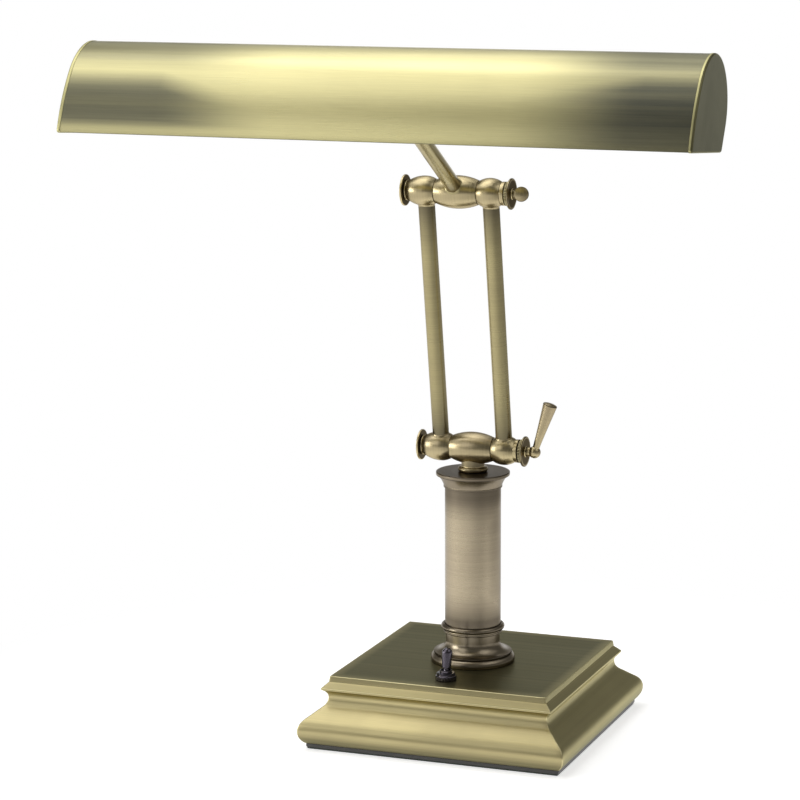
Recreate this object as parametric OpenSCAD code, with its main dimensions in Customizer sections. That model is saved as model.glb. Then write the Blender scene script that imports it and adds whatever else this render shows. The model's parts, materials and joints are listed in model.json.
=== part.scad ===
// Piano lamp: a square moulded base and a turned column carry twin swing arms and a long brass shade.
// Millimetres, +Z up, the front towards -Y. The origin is the middle of the base, on the table.

/* [Base] */
// Height of the base, from the table to the top plate
base_h = 42; // [40:0.1:50]
// Width across the bullnose, the widest part of the base
base_w = 163; // [158:0.1:180]
// Radius of the bullnose
bull_r = 9; // [7:0.1:10]
// Inset of the cove's narrowest part from the bullnose, on each side
waist_inset = 14.3; // [12:0.1:17]
// Height of the narrowest part of the cove below the top plate
waist_drop = 12.6; // [11:0.1:14]
// Radius of the cove where it runs down into the slope
cove_r = 6.9; // [5:0.1:8]
// Radius of the cove under the lip
cove_top_r = 5; // [4.6:0.1:6]
// Overhang of the lip beyond the cove's narrowest part, on each side
lip_over = 3.4; // [2.6:0.1:4.4]
// Height of the lip's upper edge below the top plate
lip_drop = 6.9; // [6:0.1:7.2]
// Inset of the top plate's edge from the lip, on each side
plate_inset = 3.7; // [2.5:0.1:4.5]
// Height of the top plate's edge
plate_edge = 3; // [2:0.1:4]
// Taper of the top plate's edge, on each side
plate_taper = 0.5; // [0.2:0.1:0.8]
// Step under the top plate's edge
plate_step = 0.4; // [0.2:0.1:0.6]
// Thickness of the shell's top
top_t = 2.5; // [2:0.1:4]
// Thickness of the shell at the cove
shell_t = 2.7; // [2:0.1:4]
// Thickness of the shell at the bullnose
skirt_t = 7; // [5:0.1:9]
// Thickness of the felt
felt_t = 1; // [0.6:0.1:2]
// Thickness of the steel cover plate
cover_t = 2.5; // [1.5:0.1:3]
// Inset of the cover plate from the bullnose, on each side
cover_inset = 4; // [3.5:0.1:6]
// Inset of the felt from the cover plate's edge, on each side
felt_inset = 0.5; // [0.2:0.1:3]

/* [Weight] */
// Gap between the square iron weight and the shell's narrowest part
weight_gap = 6.5; // [3:0.5:12]
// Height of the weight's block
weight_h = 16; // [13:0.1:18]
// Radius of the boss that meets the underside of the top plate
boss_r = 16; // [14:0.1:20]
// Radius of the recess under the rod's nut
recess_r = 20; // [16:0.1:24]
// Depth of that recess
recess_h = 12.5; // [11.5:0.1:12.8]
// Width of the channel for the lead
channel_w = 14; // [10:0.1:20]
// Height of the channel for the lead
channel_h = 6.5; // [5.5:0.1:8]
// Inset of the cover screws from the weight's edges
screw_inset = 14; // [8:0.5:20]
// Radius of the cover screws
screw_r = 2; // [1.5:0.1:2.5]
// Radius of the cover screws' heads
screw_head_r = 3.8; // [3.2:0.1:4.5]
// Length of the cover screws
screw_l = 12; // [8:0.5:14]

/* [Cord inlet] */
// Radius of the cord inlet's bore
inlet_r = 3.2; // [2.5:0.1:4]
// Wall of the cord inlet's bush
inlet_wall = 1.7; // [1:0.1:2]
// Radius of the bush's flange
inlet_flange_r = 7; // [6.2:0.1:8]
// Thickness of the bush's flange
inlet_flange_t = 2; // [1.5:0.1:3]
// Length of the bush behind its flange
inlet_l = 8; // [6.5:0.1:9]

/* [Column] */
// Distance of the column in front of the base's middle
post_fwd = 3; // [0:0.1:6]
// Height of the column, from the top plate to the capital's top
column_h = 114.8; // [90:0.1:140]
// Radius of the column's tube
column_r = 16.6; // [16:0.1:17.2]
// Wall of the column's tube
column_wall = 1.2; // [0.8:0.1:2]
// Outer radius of the foot's lower ring
ring_r = 25.1; // [24.6:0.1:26]
// Radius of the foot's lower ring in section
ring_bead = 3.2; // [2.8:0.1:3.4]
// Height of the lower ring's widest part above the plate
ring_z = 1.7; // [1.4:0.1:2]
// Radius of the step above the ring
step_r = 23.3; // [22.9:0.1:23.6]
// Height of the step above the ring
step_h = 0.9; // [0.7:0.1:1.2]
// Radius of the foot's waist
foot_waist_r = 16.1; // [15.7:0.1:16.4]
// Height of the foot's waist above the plate
foot_waist_z = 12.8; // [12.5:0.1:13]
// Radius of the foot's concave sweep in section
sweep_r = 6.8; // [6.6:0.1:7]
// Radius of the fillet above the waist
fillet_r = 17.5; // [17.2:0.1:17.8]
// Height of the fillet's underside above the plate
fillet_z = 17.7; // [17.3:0.1:17.9]
// Outer radius of the bead at the foot's top
bead_r = 18.9; // [18.5:0.1:20]
// Radius of that bead in section
bead_bead = 1.65; // [1.4:0.05:1.8]
// Height of the foot
foot_h = 22.7; // [22.5:0.1:23.2]
// Depth of the tube's seat in the foot and in the capital
seat_h = 3; // [2:0.1:3.2]
// Radius of the foot's hollow
foot_hollow_r = 13.5; // [10:0.1:14]

/* [Capital] */
// Height of the capital
cap_h = 9.3; // [9:0.1:9.8]
// Outer radius of the capital's rim
rim_r = 21.85; // [21.4:0.05:23]
// Height of the capital's rim
rim_h = 2.2; // [1.8:0.1:2.6]
// Radius of the rim's edges in section
rim_edge = 0.5; // [0.3:0.1:0.8]
// Radius of the capital's flare under the rim
flare_r = 20.6; // [20:0.1:21]
// Depth of the hollow in the capital's flare
flare_hollow = 0.35; // [0.2:0.05:0.6]
// Radius of the ring at the capital's lower end
collar_r = 17.4; // [17.3:0.05:17.8]
// Height of that ring
collar_h = 1; // [0.8:0.1:1.4]

/* [Rod] */
// Outer radius of the hollow threaded rod
rod_r = 4.8; // [4.4:0.1:5]
// Wall of the rod
rod_wall = 1.5; // [1:0.1:1.6]
// Height of the rod's lower end above the cover plate
rod_clear = 5.3; // [5:0.1:5.5]
// Thickness of the rod's washer
washer_t = 1.5; // [1:0.1:2]
// Radius of the rod's washer
washer_r = 12; // [10:0.1:14]
// Width of the rod's nut across its flats
rod_nut_af = 17; // [15:0.1:19]
// Thickness of the rod's nut
rod_nut_t = 5; // [4:0.1:5]

/* [Neck] */
// Outer radius of the bead round the neck
neck_bead_r = 8.9; // [8.4:0.1:9.5]
// Radius of the neck's bead in section
neck_bead = 1.5; // [1.2:0.1:1.6]
// Radius of the neck above its bead
neck_r = 6.8; // [6.4:0.1:7.4]
// Height of the lower hinge above the capital's top
neck_rise = 13.8; // [13.5:0.1:18]

/* [Hinges] */
// Length of the barrels
barrel_l = 25.9; // [22:0.1:32]
// Largest radius of the barrels
barrel_r = 9.6; // [9.2:0.1:11]
// Radius at the ends of the barrels and of the hubs beside them
barrel_end_r = 6.9; // [6.5:0.1:7.4]
// Radius of the through bolts
bolt_r = 3; // [2.6:0.1:3.3]
// Running clearance round the bolts
run_gap = 0.05; // [0.02:0.01:0.09]
// Gap between faces that turn against each other
face_gap = 0.1; // [0.05:0.01:0.2]
// Largest radius of the hubs
hub_r = 8.75; // [8.4:0.05:9.5]
// Length of the hubs from their inner face to the arm's axis
hub_in_l = 6.55; // [5.5:0.05:8]
// Length of the left hubs from the arm's axis outwards
hub_left_l = 10.6; // [9.5:0.05:12]
// Radius at the left hubs' outer end
hub_left_r = 5.5; // [5:0.1:6]
// Length of the right hubs from the arm's axis to their collar
hub_right_l = 7.2; // [6:0.05:7.3]
// Radius of the right hubs' bulb where it meets the collar
hub_right_r = 6.35; // [6:0.05:6.6]
// Length of the right hubs' collar
hub_collar_l = 2.2; // [1.5:0.1:3]

/* [Caps and lock rings] */
// Radius of the cap's disc
cap_r = 9.05; // [8.4:0.05:10]
// Thickness of the cap's disc
cap_t = 1.1; // [1:0.1:2]
// Height of the dome on the cap's disc
cap_dome = 0.6; // [0.3:0.1:1]
// Radius of the cap's shoulder
cap_shoulder_r = 5.9; // [5.6:0.1:7]
// Thickness of the cap's shoulder
cap_shoulder_t = 0.8; // [0.8:0.1:2]
// Radius of the groove between the cap's shoulder and its disc
cap_groove_r = 5.2; // [4.6:0.1:6]
// Width of that groove
cap_groove_w = 0.4; // [0.3:0.1:1]
// Radius of the knurled lock ring
knurl_r = 6.9; // [6.6:0.1:8]
// Length of the knurled lock ring
knurl_l = 2.1; // [1.8:0.1:4]
// Depth of the knurling
knurl_depth = 0.25; // [0.15:0.05:0.4]
// Number of teeth round the lock ring
knurl_teeth = 48; // [30:1:60]
// Length of the spacer behind the lock ring
spacer_l = 0.3; // [0.2:0.1:1]
// Radius of the spacer behind the lock ring
spacer_r = 5.5; // [4.8:0.1:6]

/* [Levers] */
// Radius of the lever nut's disc
lever_disc_r = 8.95; // [8.5:0.05:10]
// Thickness of the lever nut's disc
lever_disc_t = 1.2; // [0.8:0.1:2]
// Distance from the disc's outer face to the middle of the ball
ball_reach = 5.3; // [4.4:0.1:6]
// Radius of the lever's ball
ball_r = 3.6; // [3.3:0.1:4.5]
// Radius of the lever nut's neck
lever_neck_r = 2.8; // [2.6:0.1:3.1]
// Radius of the bolt's threaded end, inside the lever nut
bolt_end_r = 1.75; // [1.5:0.05:2]
// Length of the bolt's threaded end beyond the lock ring
bolt_end_l = 4.8; // [3.5:0.1:5.2]
// Length of the lever, from the middle of its ball to its tip
lever_l = 31; // [20:0.1:40]
// Radius of the lever where it leaves its ball
lever_root_r = 2; // [1.6:0.1:2.6]
// Radius of the lever at its tip
lever_tip_r = 4.25; // [3:0.05:5]
// Height of the dome on the lever's tip
lever_dome = 0.8; // [0.4:0.1:1.5]
// Angle that the levers lean outwards
lever_splay = 18.3; // [10:0.1:30]
// Turn of the lower lever from straight up, towards the front
lower_lever_turn = 0; // [0:1:90]
// Turn of the upper lever from straight up, towards the front
upper_lever_turn = 83; // [0:1:100]

/* [Arms] */
// Length of the arms, from hinge to hinge
arm_l = 156.3; // [120:0.1:200]
// Outer radius of the arms
arm_r = 4.85; // [4:0.05:5]
// Wall of the arms
arm_wall = 1; // [0.8:0.1:1.4]
// Angle that the arms lean forward from upright
arm_lean = 9.64; // [0:0.01:20]

/* [Stem] */
// Length of the stem, from the upper hinge to the shade's back wall
stem_l = 97.5; // [80:0.1:130]
// Outer radius of the stem
stem_r = 4.55; // [4.2:0.05:5]
// Angle of the stem above the level
stem_rise = 30.7; // [10:0.01:45]
// Radius of the threaded nipple that joins the stem and the shade
nipple_r = 3.7; // [3.4:0.1:3.8]
// Length of the nipple inside the stem
nipple_in_l = 10; // [6:0.1:15]
// Radius of the lead's way through the stem and the nipple
lead_way_r = 2.1; // [2:0.05:2.4]
// Radius of the lead
lead_r = 1.7; // [1.4:0.05:1.8]
// Thickness of the nut inside the shade
stem_nut_t = 4; // [3:0.1:5]
// Width of the nut inside the shade across its flats
stem_nut_af = 14; // [12:0.1:15]

/* [Shade] */
// Length of the shade
shade_l = 356; // [346:1:420]
// Radius of the arch over the bulbs, which ends in the flat back wall
arch_r = 26.2; // [25.5:0.1:30]
// Radius of the brow between the arch and the front wall
brow_r = 36; // [32:0.5:45]
// Angle from the stem's direction at which the arch becomes the brow
brow_a = 45; // [30:1:55]
// Radius of the front wall's slight bulge
front_r = 100; // [80:5:160]
// Angle at which the brow becomes the front wall
front_a = 8; // [4:1:12]
// Angle of the front wall at its lower edge, where it leans inwards
front_end_a = -13.9; // [-16:0.1:-10]
// Thickness of the shade's sheet
shade_t = 1; // [0.8:0.1:1.4]
// Length of the back leg, from the middle of the arch to the lower edge
back_leg = 14.4; // [12:0.1:20]
// Height of the arch's middle beyond the stem's axis
arch_rise = -0.6; // [-2:0.1:6]
// Thickness of the end plates
end_t = 1.2; // [0.8:0.1:2]
// Depth of the end plates' flange inside the shade
flange_l = 5; // [3:0.1:8]
// Thickness of the end plates' flange
flange_t = 0.8; // [0.6:0.1:1.2]

/* [Sockets and bulbs] */
// Thickness of the socket bracket
bracket_t = 1.5; // [1:0.1:2]
// Width of the socket bracket
bracket_w = 12; // [11.5:0.1:14]
// Distance from the middle to the bracket's outer faces
bracket_x = 12; // [11.6:0.1:16]
// Length of the sockets
socket_l = 38; // [32:0.1:42]
// Outer radius of the sockets
socket_r = 16; // [15:0.1:18]
// Thickness of the socket's floor
socket_floor = 10; // [8:0.1:12]
// Radius of the bulb's screw base
bulb_base_r = 13.2; // [12:0.1:13.5]
// Clearance round the bulb's screw base
bulb_gap = 0.3; // [0.2:0.05:0.4]
// Radius of the tubular bulbs
bulb_r = 15.9; // [14:0.1:17]
// Gap between a bulb's tip and the shade's end plate
bulb_end_gap = 14.5; // [8:0.5:40]
// Thickness of the bulb's glass
glass_t = 0.8; // [0.6:0.1:1.2]
// Radius of the bracket's hollow nipples
socket_pipe_r = 4.8; // [4.4:0.1:5]
// Wall of the bracket's hollow nipples
socket_pipe_wall = 1.5; // [1:0.1:2]
// Thickness of the nuts on those nipples
socket_nut_t = 3; // [2:0.1:3.5]

/* [Switch] */
// Inset of the switch's middle from the top plate's front edge
switch_inset = 16.4; // [10:0.1:20]
// Width of the switch's body
switch_w = 13; // [11:0.1:15]
// Height of the switch's body
switch_h = 18; // [15:0.1:19]
// Radius of the lower nut on the switch
switch_nut_r = 6.15; // [5.8:0.05:7]
// Height of the lower nut
switch_nut_h = 2.6; // [2:0.1:3]
// Radius of the ring on the nut
switch_ring_r = 5.5; // [4.8:0.1:6]
// Height of the ring on the nut
switch_ring_h = 1.8; // [1.4:0.1:2.2]
// Outer radius of the switch's bushing
bushing_r = 3.5; // [3.4:0.05:3.8]
// Wall of the bushing
bushing_wall = 0.6; // [0.5:0.05:0.8]
// Height of the bushing above the ring
bushing_rise = 1.6; // [1.2:0.1:2]
// Depth of the lever's pivot below the bushing's top
pivot_depth = 2.5; // [2:0.1:3]
// Radius of the lever's ball inside the bushing
toggle_ball_r = 2.3; // [1.9:0.1:2.4]
// Radius of the toggle's neck
toggle_neck_r = 1.6; // [1.2:0.1:1.7]
// Height of the toggle's neck above its pivot
toggle_neck_l = 3.4; // [3.3:0.1:4]
// Radius of the toggle where it leaves its neck
toggle_root_r = 2.7; // [2.4:0.1:2.9]
// Radius of the toggle at its tip
toggle_tip_r = 3.1; // [2.8:0.1:3.6]
// Height of the toggle's tip above its pivot
toggle_l = 15.3; // [12:0.1:20]
// Throw of the toggle, from one side to the other
toggle_throw = 20; // [16:1:22]
// Height of the terminals under the switch
terminal_h = 6.5; // [4:0.1:6.8]

/* [Hidden] */
$fn = 64;

antique = "#8f8355";
antique_dark = "#5b5138";
patina = "#8a7a68";
plain_brass = "#c0a45a";
gunmetal = "#35333a";
steel = "#8d9094";
iron = "#4a4a4c";
felt_green = "#20281f";
black = "#1c1c1e";
white_glass = "#f2f0e8";

// Clearance between pieces that are fastened together
fit_gap = 0.05;
// A little more than nothing, for cuts that pass a face
past = 1;
// Clearance between the bracket's flat plate and the shade's curved wall
bracket_gap = 0.9;
// Facets in each arc of the base's moulding
arc_steps = 10;

cover_z = felt_t;
shell_z = cover_z + cover_t;
plate_z = base_h;
plate_under = plate_z - top_t;

// The base's moulding, as half a section: x is the distance from the middle, y the height
bull_x = base_w / 2 - bull_r;
bull_z = shell_z + bull_r * 0.79;
waist_x = base_w / 2 - waist_inset;
waist_z = plate_z - waist_drop;
lip_x = waist_x + lip_over;
lip_z = plate_z - lip_drop;
plate_x = lip_x - plate_inset - plate_taper;
edge_z = plate_z - plate_edge;
bull_mid = [bull_x, bull_z];
cove_mid = [waist_x + cove_r, waist_z];
cove_top_x = waist_x + cove_top_r;
span = cove_mid - bull_mid;
// The slope is the straight line that touches both the bullnose and the cove
touch_a = atan2(span.y, span.x) - acos((bull_r + cove_r) / norm(span));
bull_start_a = -asin((bull_z - shell_z) / bull_r);
lip_a = acos((lip_x - cove_top_x) / cove_top_r);
base_half = concat(
    [[0, shell_z]],
    arc_points(bull_mid, bull_r, bull_start_a, touch_a, 0),
    arc_points(cove_mid, cove_r, touch_a + 180, 180, 0),
    arc_points([cove_top_x, waist_z], cove_top_r, 180, lip_a, 1),
    [
        [lip_x, lip_z],
        [plate_x + plate_taper - plate_step, edge_z],
        [plate_x + plate_taper, edge_z],
        [plate_x, plate_z]
    ]
);
skirt_in = base_w / 2 - skirt_t;
waist_in = waist_x - shell_t;
plate_in = plate_x - shell_t;
cavity_half = [
    [0, shell_z - past],
    [skirt_in, shell_z - past],
    [skirt_in, bull_z + 1.5],
    [waist_in, waist_z - cove_r / 2],
    [waist_in, waist_z],
    [plate_in, plate_under],
    [0, plate_under]
];

cover_w = base_w - 2 * cover_inset;
felt_w = cover_w - 2 * felt_inset;
weight_w = 2 * (waist_in - weight_gap);
weight_top = shell_z + weight_h;
screw_at = weight_w / 2 - screw_inset;
recess_z = shell_z + recess_h;
inlet_y = base_w / 2;
inlet_z = bull_z;
bush_r = inlet_r + inlet_wall;

column_top = plate_z + column_h;
tube_low = plate_z + foot_h - seat_h;
tube_high = column_top - cap_h + collar_h + seat_h;
rod_z = shell_z + rod_clear;
rod_top = column_top + 2 * neck_bead + 1;
rod_in_r = rod_r - rod_wall;

// The hinges' stack along X, from the middle outwards
hinge_low = column_top + neck_rise;
barrel_x = barrel_l / 2;
hub_x = barrel_x + face_gap;
arm_x = hub_x + hub_in_l;
hub_left_end = arm_x + hub_left_l;
hub_right_end = arm_x + hub_right_l;
cap_x = hub_left_end + face_gap;
cap_disc_x = cap_x + cap_shoulder_t + cap_groove_w;
ring_x = hub_right_end + hub_collar_l + face_gap;
knurl_x = ring_x + spacer_l;
disc_x = knurl_x + knurl_l + face_gap;
ball_x = disc_x + lever_disc_t + ball_reach;
bolt_left = cap_disc_x + cap_t / 2;
bolt_right = disc_x - face_gap;
blind_gap = 0.2;

hinge_high = [0, -post_fwd - arm_l * sin(arm_lean), hinge_low + arm_l * cos(arm_lean)];

// The shade's section in the stem's frame: y is across the stem, z is along it
mid_s = stem_l + arch_r;
wall_in = stem_l + shade_t;
arch_mid = [arch_rise, mid_s];
brow_mid = arch_mid - (brow_r - arch_r) * [sin(brow_a), cos(brow_a)];
front_mid = brow_mid - (front_r - brow_r) * [sin(front_a), cos(front_a)];
front_edge = front_mid + front_r * [sin(front_end_a), cos(front_end_a)];
back_edge = [arch_rise - back_leg, stem_l];
bracket_s = wall_in + bracket_gap;
stem_nut_s = bracket_s + bracket_t;
nipple_out = stem_nut_s + stem_nut_t + 1;

socket_end = bracket_x + socket_l;
socket_hole_r = bulb_base_r + bulb_gap;
bulb_x = bracket_x + socket_floor + bulb_gap;
contact_l = 2.5;
bulb_neck_r = bulb_base_r - 0.6;
bulb_end = shade_l / 2 - end_t - bulb_end_gap;

switch_at = plate_x - switch_inset;
bushing_top = plate_z + switch_nut_h + switch_ring_h + bushing_rise;
pivot_z = bushing_top - pivot_depth;
switch_bottom = plate_under - switch_h;
terminal_x = 3.5;
lead_z = shell_z + 2.5;
lead_start = switch_bottom - terminal_h;

function arc_points(mid, r, a0, a1, first) = [
    for (i = [first:arc_steps])
        mid + r * [cos(a0 + (a1 - a0) * i / arc_steps), sin(a0 + (a1 - a0) * i / arc_steps)]
];

// The radius of the arc that rises by rise over half its chord
function bulge(half, rise) = (half * half + rise * rise) / (2 * rise);

function both_sides(half) = concat(half, [for (i = [len(half) - 1:-1:0]) [-half[i].x, half[i].y]]);

// A square frame with one section on its four sides, mitred at the corners
module mitred(half, width) {
    intersection() {
        rotate([90, 0, 0])
            linear_extrude(width + 2 * past, center = true)
                polygon(both_sides(half));
        rotate([90, 0, 90])
            linear_extrude(width + 2 * past, center = true)
                polygon(both_sides(half));
    }
}

module slab(width, z0, z1) {
    translate([-width / 2, -width / 2, z0])
        cube([width, width, z1 - z0]);
}

module pipe(r_out, r_in, z0, z1) {
    translate([0, 0, z0])
        difference() {
            cylinder(h = z1 - z0, r = r_out);
            translate([0, 0, -past])
                cylinder(h = z1 - z0 + 2 * past, r = r_in);
        }
}

module hex_nut(af, bore_r, z0, z1) {
    translate([0, 0, z0])
        difference() {
            cylinder(h = z1 - z0, r = af / 2 / cos(30), $fn = 6);
            translate([0, 0, -past])
                cylinder(h = z1 - z0 + 2 * past, r = bore_r);
        }
}

// A shape turned about the X axis: in its outline, x is the radius and y the place along X
module turned() {
    rotate([0, 90, 0])
        rotate_extrude()
            children();
}

// A cylinder on the X axis
module along_x(r, x0, x1) {
    translate([x0, 0, 0])
        rotate([0, 90, 0])
            cylinder(h = x1 - x0, r = r);
}

// A disc in an outline, from x0 to x1 along the axis
module disc_outline(r, x0, x1) {
    translate([0, x0])
        square([r, x1 - x0]);
}

module wire_run(a, b) {
    d = b - a;
    translate(a)
        rotate([0, acos(d.z / norm(d)), atan2(d.y, d.x)])
            cylinder(h = norm(d), r = lead_r);
}

module wire(path) {
    for (i = [0:len(path) - 2])
        wire_run(path[i], path[i + 1]);
    for (i = [1:len(path) - 2])
        translate(path[i])
            sphere(r = lead_r + fit_gap);
}

// The place of the column on the base
module on_post() {
    translate([0, -post_fwd, 0])
        children();
}

// The frames of the moving parts
module lower_frame() {
    translate([0, -post_fwd, hinge_low])
        children();
}

module arm_frame() {
    translate([0, -post_fwd, hinge_low])
        rotate([arm_lean, 0, 0])
            children();
}

module arm_top_frame() {
    arm_frame()
        translate([0, 0, arm_l])
            children();
}

module head_frame() {
    translate(hinge_high)
        rotate([90 - stem_rise, 0, 0])
            children();
}

module on_left() {
    mirror([1, 0, 0])
        children();
}

// Base

module base_shell() {
    color(antique)
        difference() {
            mitred(base_half, base_w);
            mitred(cavity_half, base_w);
            translate([0, -post_fwd, plate_under - past])
                cylinder(h = top_t + 2 * past, r = rod_r + fit_gap);
            translate([0, -switch_at, plate_under - past])
                cylinder(h = top_t + 2 * past, r = bushing_r + fit_gap);
            translate([0, inlet_y + past, inlet_z])
                rotate([90, 0, 0])
                    cylinder(h = inlet_flange_t + inlet_l + 2 * past, r = bush_r + fit_gap);
            translate([0, inlet_y + past, inlet_z])
                rotate([90, 0, 0])
                    cylinder(h = inlet_flange_t + past, r = inlet_flange_r + fit_gap);
        }
}

module screw_places() {
    for (x = [-screw_at, screw_at], y = [-screw_at, screw_at])
        translate([x, y, cover_z])
            children();
}

module base_weight() {
    color(iron)
        difference() {
            union() {
                slab(weight_w, shell_z, weight_top);
                translate([0, -post_fwd, shell_z])
                    cylinder(h = plate_under - shell_z, r = boss_r);
            }
            translate([0, -post_fwd, shell_z - past])
                cylinder(h = recess_h + past, r = recess_r);
            translate([0, -post_fwd, shell_z])
                cylinder(h = base_h, r = rod_r + fit_gap);
            translate([-channel_w / 2, -weight_w / 2 - past, shell_z - past])
                cube([channel_w, weight_w / 2 + past, channel_h + past]);
            translate([-switch_w / 2 - 3, -weight_w / 2 - past, shell_z - past])
                cube([switch_w + 6, weight_w / 2 - switch_at + switch_w / 2 + 4 + past, weight_h + 2 * past]);
            screw_places()
                cylinder(h = screw_l + 1, r = screw_r + fit_gap);
        }
}

module cover_plate() {
    color(black)
        difference() {
            slab(cover_w, cover_z, shell_z);
            screw_places()
                translate([0, 0, -past])
                    cylinder(h = cover_t + 2 * past, r = screw_r + fit_gap);
            screw_places()
                cylinder(h = screw_head_r - screw_r, r1 = screw_head_r, r2 = screw_r);
        }
}

module cover_screws() {
    color(steel)
        screw_places() {
            cylinder(h = screw_l, r = screw_r);
            cylinder(h = screw_head_r - screw_r - fit_gap, r1 = screw_head_r - fit_gap, r2 = screw_r);
        }
}

module felt_pad() {
    color(felt_green)
        slab(felt_w, 0, felt_t);
}

module cord_gland() {
    color(black)
        translate([0, inlet_y, inlet_z])
            rotate([90, 0, 0]) {
                pipe(inlet_flange_r, inlet_r, 0, inlet_flange_t);
                pipe(bush_r, inlet_r, 0, inlet_flange_t + inlet_l);
            }
}

// Column

module column_foot() {
    inner = column_r + fit_gap;
    step_low = ring_z + ring_bead + 0.1;
    step_high = step_low + step_h;
    core_r = step_r - 1;
    color(patina)
        translate([0, -post_fwd, plate_z])
            rotate_extrude()
                difference() {
                    union() {
                        square([ring_r - ring_bead, ring_z + ring_bead]);
                        intersection() {
                            translate([ring_r - ring_bead, ring_z])
                                circle(ring_bead);
                            square([ring_r, step_low]);
                        }
                        square([core_r, step_high]);
                        translate([0, step_low])
                            square([step_r, step_h]);
                        difference() {
                            square([core_r, foot_waist_z]);
                            translate([foot_waist_r + sweep_r, foot_waist_z])
                                circle(sweep_r);
                        }
                        square([foot_waist_r, foot_h]);
                        translate([0, fillet_z])
                            square([fillet_r, 1.2]);
                        square([bead_r - bead_bead, foot_h]);
                        translate([bead_r - bead_bead, foot_h - bead_bead])
                            circle(bead_bead);
                    }
                    // The waist stays clear of the column of metal under the bead
                    translate([foot_waist_r, foot_waist_z])
                        square([ring_r, fillet_z - foot_waist_z]);
                    translate([fillet_r - 0.4, fillet_z + 1.2])
                        square([ring_r, foot_h - 2 * bead_bead - fillet_z - 1.2]);
                    intersection() {
                        translate([foot_waist_r + sweep_r, foot_waist_z])
                            circle(sweep_r);
                        translate([0, step_high])
                            square([ring_r, foot_waist_z - step_high]);
                    }
                    translate([-past, -past])
                        square([foot_hollow_r + past, foot_h + 2 * past]);
                    translate([-past, foot_h - seat_h])
                        square([inner + past, seat_h + past]);
                }
}

module column_tube() {
    color(patina)
        on_post()
            pipe(column_r, column_r - column_wall, tube_low, tube_high);
}

module column_capital() {
    rim_z = cap_h - rim_h;
    flare_run = rim_z - 0.1 - collar_h;
    flare_rise = flare_r - collar_r;
    chord = norm([flare_run, flare_rise]);
    arc = bulge(chord / 2, flare_hollow);
    away = (arc - flare_hollow) / chord;
    color(patina)
        translate([0, -post_fwd, column_top - cap_h])
            rotate_extrude()
                difference() {
                    union() {
                        square([collar_r, collar_h]);
                        difference() {
                            polygon([
                                [0, collar_h],
                                [collar_r, collar_h],
                                [flare_r, rim_z - 0.1],
                                [flare_r, rim_z],
                                [0, rim_z]
                            ]);
                            translate([
                                (collar_r + flare_r) / 2 + flare_run * away,
                                collar_h + flare_run / 2 - flare_rise * away
                            ])
                                circle(arc, $fn = 120);
                        }
                        translate([0, rim_z])
                            square([rim_r - rim_edge, rim_h]);
                        translate([0, rim_z + rim_edge])
                            square([rim_r, rim_h - 2 * rim_edge]);
                        for (z = [rim_z + rim_edge, cap_h - rim_edge])
                            translate([rim_r - rim_edge, z])
                                circle(rim_edge);
                    }
                    translate([-past, -past])
                        square([column_r + fit_gap + past, collar_h + seat_h + past]);
                    translate([-past, -past])
                        square([rod_r + fit_gap + past, cap_h + 2 * past]);
                }
}

module column_rod() {
    color(steel)
        on_post()
            pipe(rod_r, rod_in_r, rod_z, rod_top);
}

module rod_washer() {
    color(steel)
        on_post()
            pipe(washer_r, rod_r + fit_gap, recess_z - washer_t, recess_z);
}

module rod_nut() {
    color(steel)
        on_post()
            hex_nut(rod_nut_af, rod_r + fit_gap, recess_z - washer_t - rod_nut_t, recess_z - washer_t);
}

module lower_neck() {
    color(antique)
        difference() {
            translate([0, -post_fwd, column_top]) {
                rotate_extrude() {
                    square([neck_bead_r - neck_bead, 2 * neck_bead]);
                    translate([neck_bead_r - neck_bead, neck_bead])
                        circle(neck_bead);
                }
                cylinder(h = neck_rise, r = neck_r);
            }
            translate([0, -post_fwd, column_top - past])
                cylinder(h = rod_top - column_top + past + blind_gap, r = rod_r + fit_gap);
            on_post()
                cylinder(h = hinge_low, r = lead_way_r);
            lower_frame()
                barrel_blank();
        }
}

// The leads are the parts of the flex that lie inside the lamp
module column_lead() {
    color(black)
        wire([
            [-terminal_x, -switch_at, lead_start],
            [-terminal_x, -switch_at, lead_z],
            [0, -post_fwd, lead_z],
            [0, -post_fwd, hinge_low - bolt_r - 1]
        ]);
}

// Hinges

module barrel_blank() {
    rise = barrel_r - barrel_end_r;
    arc = bulge(barrel_x, rise);
    turned()
        intersection() {
            translate([0, -barrel_x])
                square([barrel_r, barrel_l]);
            translate([barrel_r - arc, 0])
                circle(arc, $fn = 180);
        }
}

module barrel() {
    difference() {
        barrel_blank();
        along_x(bolt_r + run_gap, -barrel_x - past, barrel_x + past);
    }
}

module lower_barrel() {
    color(antique)
        lower_frame()
            difference() {
                barrel();
                translate([0, 0, -barrel_r - past])
                    cylinder(h = barrel_r + past, r = lead_way_r);
            }
}

module upper_barrel() {
    color(antique)
        head_frame()
            difference() {
                barrel();
                cylinder(h = barrel_r + past, r = lead_way_r);
            }
}

// The outline of a hub's bulb, the part that an arm enters. Two arcs meet smoothly at the arm: the smaller
// circle lies inside the larger one, so it runs on through it and the larger one stops at the arm
module hub_outline(out_l, out_r) {
    arc_in = bulge(hub_in_l, hub_r - barrel_end_r);
    arc_out = bulge(out_l, hub_r - out_r);
    out_x = arm_x + out_l;
    intersection() {
        disc_outline(hub_r, hub_x, arc_out > arc_in ? out_x : arm_x);
        translate([hub_r - arc_in, arm_x])
            circle(arc_in, $fn = 120);
    }
    intersection() {
        disc_outline(hub_r, arc_out > arc_in ? arm_x : hub_x, out_x);
        translate([hub_r - arc_out, arm_x])
            circle(arc_out, $fn = 120);
    }
}

module hub_left_blank() {
    turned()
        hub_outline(hub_left_l, hub_left_r);
}

module hub_right_blank() {
    turned()
        hub_outline(hub_right_l, hub_right_r);
}

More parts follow.
